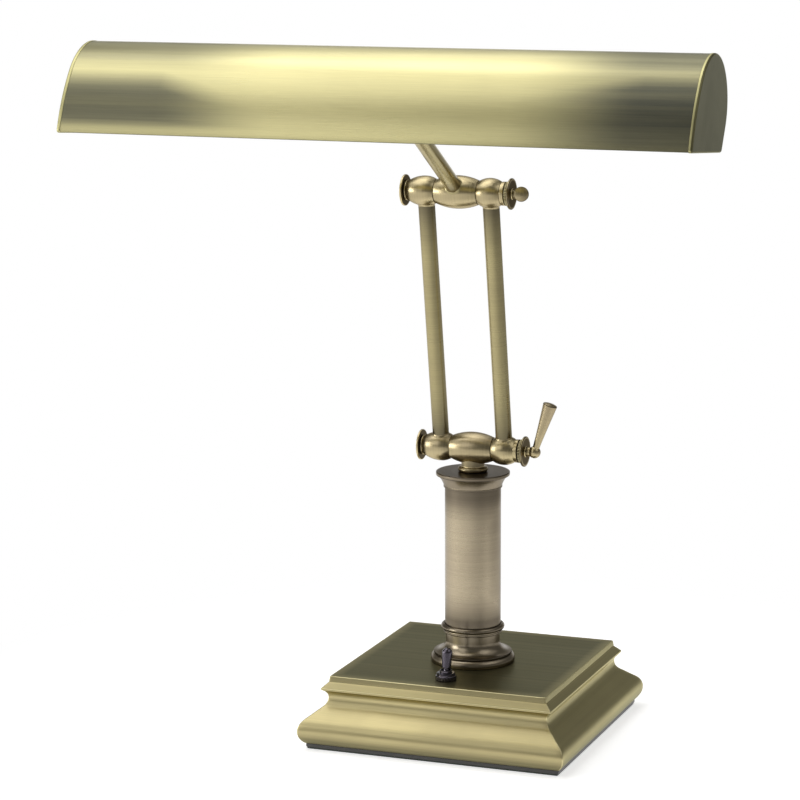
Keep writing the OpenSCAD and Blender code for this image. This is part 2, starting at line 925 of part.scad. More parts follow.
module hub_left(way) {
    on_left()
        difference() {
            hub_left_blank();
            along_x(bolt_r + fit_gap, hub_x - past, hub_left_end + past);
            translate([arm_x, 0, way > 0 ? 0 : -hub_r - past])
                cylinder(h = hub_r + past, r = lead_way_r);
        }
}

module hub_right() {
    end = hub_right_end + hub_collar_l;
    difference() {
        turned() {
            hub_outline(hub_right_l, hub_right_r);
            disc_outline(barrel_end_r, hub_right_end - 0.5, end);
        }
        along_x(bolt_r + fit_gap, hub_x - past, end + past);
    }
}

module lower_hub_left() {
    color(antique)
        arm_frame()
            hub_left(1);
}

module upper_hub_left() {
    color(antique)
        arm_top_frame()
            hub_left(-1);
}

module lower_hub_right() {
    color(antique)
        arm_frame()
            hub_right();
}

module upper_hub_right() {
    color(antique)
        arm_top_frame()
            hub_right();
}

module bolt() {
    along_x(bolt_r, -bolt_left, bolt_right);
    along_x(bolt_end_r, bolt_right - past, bolt_right + bolt_end_l);
}

module lower_bolt() {
    color(steel)
        arm_frame()
            bolt();
}

module upper_bolt() {
    color(steel)
        arm_top_frame()
            bolt();
}

module hinge_cap() {
    arc = bulge(cap_r, cap_dome);
    difference() {
        turned() {
            disc_outline(cap_shoulder_r, cap_x, cap_x + cap_shoulder_t);
            disc_outline(cap_groove_r, cap_x, cap_disc_x + cap_t / 2);
            intersection() {
                disc_outline(cap_r, cap_disc_x, cap_disc_x + cap_t + cap_dome);
                translate([0, cap_disc_x + cap_t + cap_dome - arc])
                    circle(arc, $fn = 180);
            }
        }
        along_x(bolt_r + fit_gap, cap_x - past, bolt_left + blind_gap);
    }
}

module lower_cap() {
    color(antique)
        arm_frame()
            on_left()
                hinge_cap();
}

module upper_cap() {
    color(antique)
        arm_top_frame()
            on_left()
                hinge_cap();
}

module lock_ring() {
    step = 180 / knurl_teeth;
    difference() {
        union() {
            along_x(spacer_r, ring_x, knurl_x + past);
            translate([knurl_x, 0, 0])
                rotate([90, 0, 90])
                    linear_extrude(knurl_l)
                        polygon([
                            for (i = [0:2 * knurl_teeth - 1])
                                (knurl_r - (i % 2) * knurl_depth) * [cos(i * step), sin(i * step)]
                        ]);
        }
        along_x(bolt_r + fit_gap, ring_x - past, knurl_x + knurl_l + past);
    }
}

module lower_lock_ring() {
    color(antique_dark)
        arm_frame()
            lock_ring();
}

module upper_lock_ring() {
    color(antique_dark)
        arm_top_frame()
            lock_ring();
}

// Levers

module lever_nut() {
    difference() {
        union() {
            turned()
                disc_outline(lever_disc_r, disc_x, disc_x + lever_disc_t);
            along_x(lever_neck_r, disc_x, ball_x);
            translate([ball_x, 0, 0])
                sphere(r = ball_r);
        }
        along_x(bolt_end_r + run_gap, disc_x - past, bolt_right + bolt_end_l + blind_gap);
    }
}

module lever_handle() {
    arc = bulge(lever_tip_r, lever_dome);
    shoulder = lever_l - lever_dome;
    difference() {
        translate([ball_x, 0, 0])
            rotate([0, lever_splay, 0])
                rotate_extrude() {
                    polygon([[0, past], [lever_root_r, past], [lever_tip_r, shoulder], [0, shoulder]]);
                    intersection() {
                        translate([0, shoulder])
                            square([lever_tip_r, lever_dome]);
                        translate([0, lever_l - arc])
                            circle(arc, $fn = 120);
                    }
                }
        translate([ball_x, 0, 0])
            sphere(r = ball_r);
    }
}

module lower_lever_place() {
    lower_frame()
        rotate([lower_lever_turn, 0, 0])
            children();
}

module upper_lever_place() {
    translate(hinge_high)
        rotate([upper_lever_turn, 0, 0])
            children();
}

module lower_lever_nut() {
    color(antique)
        lower_lever_place()
            lever_nut();
}

module lower_lever_handle() {
    color(antique)
        lower_lever_place()
            lever_handle();
}

module upper_lever_nut() {
    color(antique)
        upper_lever_place()
            lever_nut();
}

module upper_lever_handle() {
    color(antique)
        upper_lever_place()
            lever_handle();
}

// Arms

module arm(side) {
    arm_frame()
        difference() {
            translate([side * arm_x, 0, 0])
                pipe(arm_r, arm_r - arm_wall, 0, arm_l);
            for (z = [0, arm_l])
                translate([0, 0, z])
                    if (side < 0) on_left() hub_left_blank();
                    else hub_right_blank();
        }
}

module arm_left() {
    color(patina)
        arm(-1);
}

module arm_right() {
    color(patina)
        arm(1);
}

module arm_lead() {
    color(black)
        arm_frame()
            translate([-arm_x, 0, bolt_r + 1])
                cylinder(h = arm_l - 2 * bolt_r - 2, r = lead_r);
}

// Stem

module stem() {
    color(antique)
        head_frame()
            difference() {
                cylinder(h = stem_l, r = stem_r);
                cylinder(h = stem_l + past, r = lead_way_r);
                translate([0, 0, stem_l - nipple_in_l])
                    cylinder(h = nipple_in_l + past, r = nipple_r + fit_gap);
                barrel_blank();
            }
}

module stem_nipple() {
    color(plain_brass)
        head_frame()
            pipe(nipple_r, lead_way_r, stem_l - nipple_in_l + blind_gap, nipple_out);
}

module stem_nut() {
    color(plain_brass)
        head_frame()
            hex_nut(stem_nut_af, nipple_r + fit_gap, stem_nut_s, stem_nut_s + stem_nut_t);
}

module stem_lead() {
    color(black)
        head_frame() {
            translate([0, 0, bolt_r + 1])
                cylinder(h = mid_s - bolt_r - 1, r = lead_r);
            translate([0, 0, mid_s])
                along_x(lead_r, -bracket_x - 4, bracket_x + 4);
        }
}

// Shade

// Points on an arc of the section, whose angles are measured from the stem's direction
function bend(mid, r, a0, a1, steps) = [
    for (i = [0:steps])
        mid + r * [sin(a0 + (a1 - a0) * i / steps), cos(a0 + (a1 - a0) * i / steps)]
];

// The space within the walls, which runs on past the lower edge
module shade_inside(inset) {
    below = 20;
    polygon(concat(
        [[back_edge.x - 2 * below, stem_l + inset]],
        bend(arch_mid, arch_r - inset, 180, brow_a, 24),
        bend(brow_mid, brow_r - inset, brow_a - 4, front_a, 6),
        bend(front_mid, front_r - inset, front_a - 3, front_end_a - below / 2, 9)
    ));
}

module shade_outline(inset) {
    reach = 2 * arch_r;
    intersection() {
        shade_inside(inset);
        polygon([
            front_edge - 0.2 * (back_edge - front_edge),
            back_edge + 0.2 * (back_edge - front_edge),
            [arch_rise + reach, stem_l - reach],
            [arch_rise + reach, stem_l + 2 * reach]
        ]);
    }
}

// Stretches an outline of the shade's section from x0 to x1
module shade_stretch(x0, x1) {
    translate([x0, 0, 0])
        rotate([90, 0, 90])
            linear_extrude(x1 - x0)
                children();
}

module shade_shell() {
    half = shade_l / 2 - end_t;
    color(antique)
        head_frame()
            difference() {
                shade_stretch(-half, half)
                    difference() {
                        shade_outline(0);
                        shade_inside(shade_t);
                    }
                translate([0, 0, stem_l - past])
                    cylinder(h = shade_t + 2 * past, r = nipple_r + fit_gap);
            }
}

module shade_end() {
    half = shade_l / 2;
    outside = shade_t + fit_gap;
    shade_stretch(half - end_t, half)
        shade_outline(0);
    shade_stretch(half - end_t - flange_l, half - end_t)
        difference() {
            shade_outline(outside);
            shade_inside(outside + flange_t);
        }
}

module shade_end_right() {
    color(antique_dark)
        head_frame()
            shade_end();
}

module shade_end_left() {
    color(antique_dark)
        head_frame()
            on_left()
                shade_end();
}

// Sockets and bulbs

module socket_bracket() {
    ear = mid_s - bracket_s;
    color(plain_brass)
        head_frame()
            difference() {
                union() {
                    translate([-bracket_x, -bracket_w / 2, bracket_s])
                        cube([2 * bracket_x, bracket_w, bracket_t]);
                    for (x = [-bracket_x, bracket_x - bracket_t])
                        translate([x, -bracket_w / 2, bracket_s])
                            cube([bracket_t, bracket_w, ear]);
                    for (x = [-bracket_x, bracket_x - bracket_t])
                        translate([0, 0, mid_s])
                            along_x(bracket_w / 2, x, x + bracket_t);
                }
                cylinder(h = mid_s - bracket_w / 2, r = nipple_r + fit_gap);
                translate([0, 0, mid_s])
                    along_x(socket_pipe_r + fit_gap, -bracket_x - past, bracket_x + past);
            }
}

module socket_frame() {
    head_frame()
        translate([0, 0, mid_s])
            children();
}

module socket_pipes() {
    inner = bracket_x - bracket_t - socket_nut_t - 1;
    outer = bracket_x + socket_floor - 1;
    color(plain_brass)
        socket_frame()
            for (x = [inner, -outer])
                difference() {
                    along_x(socket_pipe_r, x, x + outer - inner);
                    along_x(socket_pipe_r - socket_pipe_wall, x - past, x + outer - inner + past);
                }
}

module socket_nuts() {
    inner = bracket_x - bracket_t - socket_nut_t;
    color(plain_brass)
        socket_frame()
            for (side = [0, 1])
                mirror([side, 0, 0])
                    rotate([0, 90, 0])
                        hex_nut(stem_nut_af, socket_pipe_r + fit_gap, inner, inner + socket_nut_t);
}

module socket() {
    difference() {
        along_x(socket_r, bracket_x, socket_end);
        along_x(socket_hole_r, bracket_x + socket_floor, socket_end + past);
        along_x(socket_pipe_r + fit_gap, bracket_x - past, socket_end);
    }
}

module socket_right() {
    color(white_glass)
        socket_frame()
            socket();
}

module socket_left() {
    color(white_glass)
        socket_frame()
            on_left()
                socket();
}

// The brass screw base of a bulb, a cup with its contact at the closed end
module bulb_base() {
    difference() {
        union() {
            along_x(bulb_base_r / 2, bulb_x, bulb_x + contact_l + past);
            along_x(bulb_base_r, bulb_x + contact_l, socket_end);
        }
        along_x(bulb_neck_r, bulb_x + contact_l + past, socket_end + past);
    }
}

// The glass of a bulb, open at its neck inside the base
module bulb_glass() {
    neck_x = socket_end - 6;
    shoulder_x = socket_end + bulb_gap;
    dome_x = bulb_end - bulb_r;
    difference() {
        union() {
            along_x(bulb_neck_r - fit_gap, neck_x, shoulder_x + past);
            along_x(bulb_r, shoulder_x, dome_x);
            translate([dome_x, 0, 0])
                sphere(r = bulb_r);
        }
        along_x(bulb_neck_r - fit_gap - glass_t, neck_x - past, shoulder_x + 2 * past);
        along_x(bulb_r - glass_t, shoulder_x + glass_t, dome_x);
        translate([dome_x, 0, 0])
            sphere(r = bulb_r - glass_t);
    }
}

module bulb_base_right() {
    color(plain_brass)
        socket_frame()
            bulb_base();
}

module bulb_base_left() {
    color(plain_brass)
        socket_frame()
            on_left()
                bulb_base();
}

module bulb_glass_right() {
    color(white_glass)
        socket_frame()
            bulb_glass();
}

module bulb_glass_left() {
    color(white_glass)
        socket_frame()
            on_left()
                bulb_glass();
}

// Switch

module switch_place(z) {
    translate([0, -switch_at, z])
        children();
}

module switch_body() {
    color(black)
        switch_place(switch_bottom)
            translate([-switch_w / 2, -switch_w / 2, 0])
                cube([switch_w, switch_w, switch_h]);
}

module switch_terminals() {
    color(plain_brass)
        switch_place(lead_start)
            for (x = [-terminal_x, terminal_x])
                translate([x - 2, -0.5, 0])
                    cube([4, 1, terminal_h]);
}

module switch_bushing() {
    color(gunmetal)
        switch_place(0)
            pipe(bushing_r, bushing_r - bushing_wall, plate_under, bushing_top);
}

module switch_nut() {
    teeth = 24;
    step = 180 / teeth;
    color(gunmetal)
        switch_place(plate_z)
            difference() {
                union() {
                    linear_extrude(switch_nut_h)
                        polygon([
                            for (i = [0:2 * teeth - 1])
                                (switch_nut_r - (i % 2) * knurl_depth) * [cos(i * step), sin(i * step)]
                        ]);
                    cylinder(h = switch_nut_h + switch_ring_h, r = switch_ring_r);
                }
                translate([0, 0, -past])
                    cylinder(h = switch_nut_h + switch_ring_h + 2 * past, r = bushing_r + fit_gap);
            }
}

module switch_lever() {
    dome_z = toggle_l - toggle_tip_r;
    color(gunmetal)
        switch_place(pivot_z)
            rotate([-toggle_throw / 2, 0, 0]) {
                sphere(r = toggle_ball_r);
                translate([0, 0, -toggle_ball_r - 1])
                    cylinder(h = toggle_ball_r + 1, r = 1);
                cylinder(h = toggle_neck_l + past, r = toggle_neck_r);
                translate([0, 0, toggle_neck_l])
                    cylinder(h = dome_z - toggle_neck_l, r1 = toggle_root_r, r2 = toggle_tip_r);
                translate([0, 0, dome_z])
                    sphere(r = toggle_tip_r);
            }
}

base_shell();
base_weight();
cover_plate();
cover_screws();
felt_pad();
cord_gland();
column_foot();
column_tube();
column_capital();
column_rod();
rod_washer();
rod_nut();
lower_neck();
lower_barrel();
column_lead();
switch_body();
switch_terminals();
switch_bushing();
switch_nut();
switch_lever();
arm_left();
arm_right();
arm_lead();
lower_hub_left();
lower_hub_right();
upper_hub_left();
upper_hub_right();
lower_bolt();
upper_bolt();
lower_cap();
upper_cap();
lower_lock_ring();
upper_lock_ring();
lower_lever_nut();
lower_lever_handle();
upper_lever_nut();
upper_lever_handle();
upper_barrel();
stem();
stem_nipple();
stem_nut();
stem_lead();
shade_shell();
shade_end_left();
shade_end_right();
socket_bracket();
socket_pipes();
socket_nuts();
socket_left();
socket_right();
bulb_glass_left();
bulb_glass_right();
bulb_base_left();
bulb_base_right();
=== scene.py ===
"""Piano lamp in aged brass: the visible surfaces, their finishes and a plain studio, round the fixed frame.

Sizes are in millimetres and become metres in skin(). Outlines of turned pieces are pairs: place along the
axis, radius.
"""

import json
import logging
import math
from collections.abc import Callable
from dataclasses import dataclass, field
from enum import Enum
from functools import lru_cache, partial

import bmesh
import bpy
import numpy as np
from mathutils import Matrix, Vector


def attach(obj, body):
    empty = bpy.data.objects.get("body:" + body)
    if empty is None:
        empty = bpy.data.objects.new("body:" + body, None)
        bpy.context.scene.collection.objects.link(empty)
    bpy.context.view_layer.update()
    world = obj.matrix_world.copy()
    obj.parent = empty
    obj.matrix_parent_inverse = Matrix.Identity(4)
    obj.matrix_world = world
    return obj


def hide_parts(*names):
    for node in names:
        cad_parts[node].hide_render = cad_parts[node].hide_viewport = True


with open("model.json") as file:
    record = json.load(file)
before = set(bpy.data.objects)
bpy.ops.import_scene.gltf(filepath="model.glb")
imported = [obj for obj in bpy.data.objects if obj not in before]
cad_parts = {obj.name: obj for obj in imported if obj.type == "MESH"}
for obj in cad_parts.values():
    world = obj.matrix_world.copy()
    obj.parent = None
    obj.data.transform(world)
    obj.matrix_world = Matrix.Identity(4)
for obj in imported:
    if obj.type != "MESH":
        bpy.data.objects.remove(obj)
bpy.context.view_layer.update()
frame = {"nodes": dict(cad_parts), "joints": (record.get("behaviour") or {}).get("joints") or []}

logging.basicConfig(level=logging.INFO, format="%(message)s")
LOG = logging.getLogger("piano_lamp")

MM = 0.001
GRAIN_UV = "grain"
STEPS_PER_TOOTH = 8
# Degrees that the shade's stem points above the level, and that the upper lever is turned from upright
STEM_RISE = 30.7
UPPER_LEVER_TURN = 83
Array = np.ndarray


# Outlines


def arc(centre: tuple[float, float], radius: float, start: float, stop: float, steps: int = 14) -> Array:
    """Points on a circle: centre plus radius times the cosine and sine of each angle.

    Args:
        centre: middle of the circle.
        radius: its radius.
        start: first angle in degrees.
        stop: last angle in degrees.
        steps: number of chords.

    Returns:
        An array of steps + 1 points.
    """
    a = np.radians(np.linspace(start, stop, steps + 1))
    return np.array(centre) + radius * np.stack([np.cos(a), np.sin(a)], 1)


@dataclass
class Outline:
    """A flat outline drawn corner by corner, with a rounding at each corner."""

    points: list = field(default_factory=list)
    rounds: list = field(default_factory=list)

    def to(self, x: float, y: float, rounding: float = 0.0) -> "Outline":
        """Adds one corner and its rounding."""
        self.points.append((x, y))
        self.rounds.append(rounding)
        return self

    def along(self, curve: Array) -> "Outline":
        """Adds the points of a smooth curve as they are."""
        for x, y in curve:
            self.to(x, y)
        return self

    def drawn(self, closed: bool = True, step: float = 0.9, chords: int = 6) -> Array:
        """Rounds the corners and cuts the straight stretches into short ones.

        A corner becomes an arc that touches both sides: with turn t, it leaves each side at a distance of
        rounding * tan(t / 2) from the corner.

        Args:
            closed: whether the last point joins the first.
            step: longest stretch between two points.
            chords: chords in each rounded corner.

        Returns:
            The points, without a repeated last one.
        """
        p = np.array(self.points, float)
        n = len(p)
        made = []
        for i in range(n):
            inner = closed or 0 < i < n - 1
            if not (self.rounds[i] and inner):
                made.append(p[i])
                continue
            before, after = p[i - 1] - p[i], p[(i + 1) % n] - p[i]
            la, lb = np.linalg.norm(before), np.linalg.norm(after)
            before, after = before / la, after / lb
            turn = math.pi - math.acos(np.clip(before @ after, -1, 1))
            leave = min(self.rounds[i] * math.tan(turn / 2), 0.48 * la, 0.48 * lb)
            radius = leave / math.tan(turn / 2)
            middle = p[i] + (before + after) / np.linalg.norm(before + after) * math.hypot(radius, leave)
            a, b = p[i] + before * leave - middle, p[i] + after * leave - middle
            t = np.linspace(0, 1, chords + 1)[:, None]
            made.extend(middle + (np.sin((1 - t) * turn) * a + np.sin(t * turn) * b) / math.sin(turn))
        made = np.array(made)
        ends = np.roll(made, -1, 0) if closed else made[1:]
        out = []
        for a, b in zip(made, ends):
            count = max(1, math.ceil(np.linalg.norm(b - a) / step))
            out.extend(a + (b - a) * k / count for k in range(count))
        if not closed:
            out.append(made[-1])
        return np.array(out)


def crease(outline: Array, closed: bool) -> Array:
    """How sharply an outline turns at each point: its turning angle over the length of its half sides.

    Args:
        outline: its points.
        closed: whether the last point joins the first.

    Returns:
        Radians per millimetre at each point, above 0 for a left turn. skin() sorts out which way is outwards.
    """
    before = outline - np.roll(outline, 1, 0)
    after = np.roll(outline, -1, 0) - outline
    la, lb = np.linalg.norm(before, axis=1), np.linalg.norm(after, axis=1)
    cross = before[:, 0] * after[:, 1] - before[:, 1] * after[:, 0]
    turn = np.arctan2(cross, (before * after).sum(1)) / np.maximum((la + lb) / 2, 0.08)
    if not closed:
        turn[0] = turn[-1] = 0
    return turn


def run_length(points: Array, closed: bool) -> Array:
    """Length along a line of points, with one more value for the way back to the first where it is closed."""
    ends = np.vstack([points, points[:1]]) if closed else points
    return np.concatenate([[0], np.cumsum(np.linalg.norm(np.diff(ends, axis=0), axis=1))])


# Places


def turn_x(degrees: float) -> Array:
    """A 4 by 4 matrix that turns about the X axis."""
    return np.array(Matrix.Rotation(math.radians(degrees), 4, "X"))


def turn_y(degrees: float) -> Array:
    """A 4 by 4 matrix that turns about the Y axis."""
    return np.array(Matrix.Rotation(math.radians(degrees), 4, "Y"))


def shift(x: float = 0.0, y: float = 0.0, z: float = 0.0) -> Array:
    """A 4 by 4 matrix that moves by x, y and z."""
    return np.array(Matrix.Translation((x, y, z)))


# A turned outline's axis is local X: this stands it on Z
UPRIGHT = turn_y(-90)
LEVEL = np.eye(4)


# Skins


@dataclass
class Sheet:
    """A grid of points in two directions, with what its finish needs to know.

    Attributes:
        points: grid of places in millimetres, rows by columns by 3.
        grain: texture place at each grid point in millimetres, first along the grain. It has one more row or
            column where the grid closes on itself.
        turn: crease of the surface at each grid point.
        tone: darkening at each grid point, from 0 to 1, or brightening below 0.
        ring: whether the last row joins the first.
        loop: whether the last column joins the first.
    """

    points: Array
    grain: Array
    turn: Array
    tone: Array
    ring: bool
    loop: bool

    def faces(self) -> tuple[Array, Array]:
        """Four-sided faces, and the grain point of each of their corners.

        Returns:
            Numbers of the four points of each face, and of the grain points at its corners.
        """
        rows, columns = self.points.shape[:2]
        last = (rows if self.ring else rows - 1, columns if self.loop else columns - 1)
        i, j = (v.ravel() for v in np.meshgrid(np.arange(last[0]), np.arange(last[1]), indexing="ij"))
        corners = [(i, j), (i + 1, j), (i + 1, j + 1), (i, j + 1)]
        faces = np.stack([(a % rows) * columns + b % columns for a, b in corners], 1)
        wide = self.grain.shape[1]
        return faces, np.stack([a * wide + b for a, b in corners], 1)


def sheet_of(points: Array, outline: Array, grain: Array, ring: bool, loop: bool,
             tone: Array | float = 0.0) -> Sheet:
    """A sheet whose columns follow an outline, so its crease is the outline's own."""
    turn = np.broadcast_to(crease(outline, loop), points.shape[:2])
    return Sheet(points, grain, turn, np.broadcast_to(tone, points.shape[:2]), ring, loop)


def turned(outline: Array, closed: bool, segments: int = 96, tone: Array | float = 0.0, teeth: int = 0,
           tooth: float = 0.0, toothed: Array | None = None) -> Sheet:
    """Turns an outline about the X axis: y and z are the radius times the cosine and sine of the angle.

    Args:
        outline: points (place along the axis, radius).
        closed: whether the outline closes on itself, away from the axis.
        segments: steps round the axis.
        tone: darkening at each point of the outline, or at each step round the axis and each point.
        teeth: number of knurling teeth round the axis.
        tooth: depth of the knurling.
        toothed: share of the depth at each point of the outline.

    Returns:
        The sheet, with its grain round the axis.
    """
    a = np.linspace(0, 2 * math.pi, segments, endpoint=False)[:, None]
    radius = np.broadcast_to(outline[:, 1], (segments, len(outline)))
    if teeth:
        radius = radius - tooth * toothed * (0.5 - 0.5 * np.cos(teeth * a))
    along = np.broadcast_to(outline[:, 0], radius.shape)
    points = np.stack([along, radius * np.cos(a), radius * np.sin(a)], 2)
    round_length = np.linspace(0, 2 * math.pi, segments + 1) * outline[:, 1].max()
    across = run_length(outline, closed)
    grain = np.stack(np.meshgrid(round_length, across, indexing="ij"), 2)
    return sheet_of(points, outline, grain, True, closed, tone)


def carried(outline: Array, stations: Array, closed: bool = True, ring: bool = False,
            tone: Array | float = 0.0) -> Sheet:
    """Carries an outline (y, z) along X through stations, with its grain along X.

    Args:
        outline: its points.
        stations: places along X.
        closed: whether the outline closes on itself.
        ring: whether the last station joins the first.
        tone: darkening at each station and point.

    Returns:
        The sheet.
    """
    points = np.empty((len(stations), len(outline), 3))
    points[:, :, 0] = stations[:, None]
    points[:, :, 1:] = outline
    grain = np.stack(np.meshgrid(stations, run_length(outline, closed), indexing="ij"), 2)
    return sheet_of(points, outline, grain, ring, closed, tone)


def skin(name: str, sheets: list[Sheet], place: Array = LEVEL) -> bpy.types.Object:
    """Makes one mesh object of sheets: merged at seams and poles, with its faces outwards.

    Args:
        name: name of the piece.
        sheets: its grids.
        place: matrix in millimetres from the sheets' own axes to the lamp's.

    Returns:
        The object, at the origin, in metres.
    """
    made = bmesh.new()
    for sheet in sheets:
        flat = sheet.points.reshape(-1, 3) @ place[:3, :3].T + place[:3, 3]
        faces, corners = sheet.faces()
        part = bpy.data.meshes.new(name)
        part.from_pydata((flat * MM).tolist(), [], faces.tolist())
        part.uv_layers.new(name=GRAIN_UV).data.foreach_set(
            "uv", (sheet.grain.reshape(-1, 2)[corners.ravel()] * MM).astype(np.float32).ravel())
        for label, values in (("crease", sheet.turn), ("tone", sheet.tone)):
            part.attributes.new(label, "FLOAT", "POINT").data.foreach_set(
                "value", np.ascontiguousarray(values, np.float32).ravel())
        shell = bmesh.new()
        shell.from_mesh(part)
        bmesh.ops.remove_doubles(shell, verts=shell.verts, dist=2e-7)
        bmesh.ops.dissolve_degenerate(shell, edges=shell.edges, dist=1e-8)
        shell.faces.ensure_lookup_table()
        shell.normal_update()
        before = shell.faces[0].normal.copy()
        bmesh.ops.recalc_face_normals(shell, faces=shell.faces)
        shell.faces.ensure_lookup_table()
        turned_round = before.dot(shell.faces[0].normal) < 0
        layer = shell.verts.layers.float["crease"]
        # Left turns of the outline are hollows where the faces had to be turned round
        for vert in shell.verts:
            vert[layer] = -vert[layer] if turned_round else vert[layer]
        shell.to_mesh(part)
        shell.free()
        made.from_mesh(part)
        bpy.data.meshes.remove(part)
    mesh = bpy.data.meshes.new(name)
    made.to_mesh(mesh)
    made.free()
    mesh.polygons.foreach_set("use_smooth", np.ones(len(mesh.polygons), bool))
    piece = bpy.data.objects.new(name, mesh)
    bpy.context.scene.collection.objects.link(piece)
    return piece


def placed(piece: bpy.types.Object, body: str, slot: str, look: bpy.types.Material,
           *nodes: str) -> bpy.types.Object:
    """Dresses a piece and makes it ride on its body in place of its frame nodes.

    Args:
        piece: the piece.
        body: body that it rides on.
        slot: name of its material slot, which is not used.
        look: its material.
        nodes: frame nodes that it replaces.

    Returns:
        The piece.
    """
    piece.data.materials.clear()
    piece.data.materials.append(look)
    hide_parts(*nodes)
    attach(piece, body)
    LOG.info("%s on %s, %d faces", piece.name, body, len(piece.data.polygons))
    return piece


# Finishes


Value = bpy.types.NodeSocket | float
Colour = tuple[float, float, float]
Opaque = tuple[float, float, float, float]


class Tree:
    """A node tree under construction: add() makes a node, sets its inputs and returns it."""

    def __init__(self, tree: bpy.types.NodeTree) -> None:
        """Keeps the tree."""
        self.tree = tree

    def add(self, kind: str, inputs: dict | None = None, **settings: object) -> bpy.types.Node:
        """Adds a node.

        Args:
            kind: the node's type, without its ShaderNode prefix.
            inputs: a value or an output socket for each named or numbered input.
            settings: attributes of the node.

        Returns:
            The node.
        """
        node = self.tree.nodes.new("ShaderNode" + kind)
        for key, value in settings.items():
            setattr(node, key, value)
        for key, value in (inputs or {}).items():
            if isinstance(value, bpy.types.NodeSocket):
                self.tree.links.new(value, node.inputs[key])
            else:
                node.inputs[key].default_value = value
        return node

    def math(self, operation: str, a: Value, b: Value = 0.0, clamp: bool = False) -> bpy.types.NodeSocket:
        """The output of a Math node."""
        return self.add("Math", {0: a, 1: b}, operation=operation, use_clamp=clamp).outputs[0]

    def span(self, value: Value, low: float, high: float, out_low: float = 0.0,
             out_high: float = 1.0) -> bpy.types.NodeSocket:
        """The output of a smooth Map Range node."""
        inputs = {"Value": value, "From Min": low, "From Max": high, "To Min": out_low, "To Max": out_high}
        return self.add("MapRange", inputs, interpolation_type="SMOOTHSTEP").outputs[0]

    def mix(self, factor: Value, a: Value | Opaque, b: Value | Opaque) -> bpy.types.NodeSocket:
        """The output of a colour Mix node."""
        return self.add("Mix", {0: factor, 6: a, 7: b}, data_type="RGBA").outputs[2]

    def towards(self, place: bpy.types.NodeSocket, x: float, y: float) -> bpy.types.NodeSocket:
        """How far a place lies in the level direction x, y."""
        return self.add("VectorMath", {0: place, 1: (x, y, 0.0)}, operation="DOT_PRODUCT").outputs["Value"]


def group(name: str, inputs: dict,
          outputs: dict) -> tuple[bpy.types.NodeTree, Tree, bpy.types.Node, bpy.types.Node]:
    """An empty shader node group with named sockets.

    Args:
        name: the group's name.
        inputs: socket types and defaults by name.
        outputs: socket types by name.

    Returns:
        The group, its tree, its input node and its output node.
    """
    made = bpy.data.node_groups.new(name, "ShaderNodeTree")
    for label, (kind, default) in inputs.items():
        socket = made.interface.new_socket(label, in_out="INPUT", socket_type="NodeSocket" + kind)
        if default is not None:
            socket.default_value = default
    for label, kind in outputs.items():
        made.interface.new_socket(label, in_out="OUTPUT", socket_type="NodeSocket" + kind)
    return made, Tree(made), made.nodes.new("NodeGroupInput"), made.nodes.new("NodeGroupOutput")


@lru_cache(maxsize=None)
def streaks() -> bpy.types.NodeTree:
    """Fine brushing marks: noise drawn out along the first coordinate, in two widths.

    Returns:
        The group.
    """
    made, t, given, out = group(
        "Brushing", {"Place": ("Vector", None), "Along": ("Float", 20.0), "Across": ("Float", 2500.0)},
        {"Streaks": "Float", "Bands": "Float"})
    split = t.add("SeparateXYZ", {0: given.outputs["Place"]})
    for label, share, detail in (("Streaks", 1.0, 3.0), ("Bands", 0.07, 2.0)):
        along = t.math("MULTIPLY", split.outputs[0], t.math("MULTIPLY", given.outputs["Along"], share))
        wide = t.math("MULTIPLY", given.outputs["Across"], share)
        across = [t.math("MULTIPLY", split.outputs[k], wide) for k in (1, 2)]
        at = t.add("CombineXYZ", {0: along, 1: across[0], 2: across[1]})
        noise = t.add("TexNoise", {"Vector": at.outputs[0], "Scale": 1.0, "Detail": detail, "Roughness": 0.6})
        made.links.new(t.span(noise.outputs["Fac"], 0.3, 0.7), out.inputs[label])
    return made


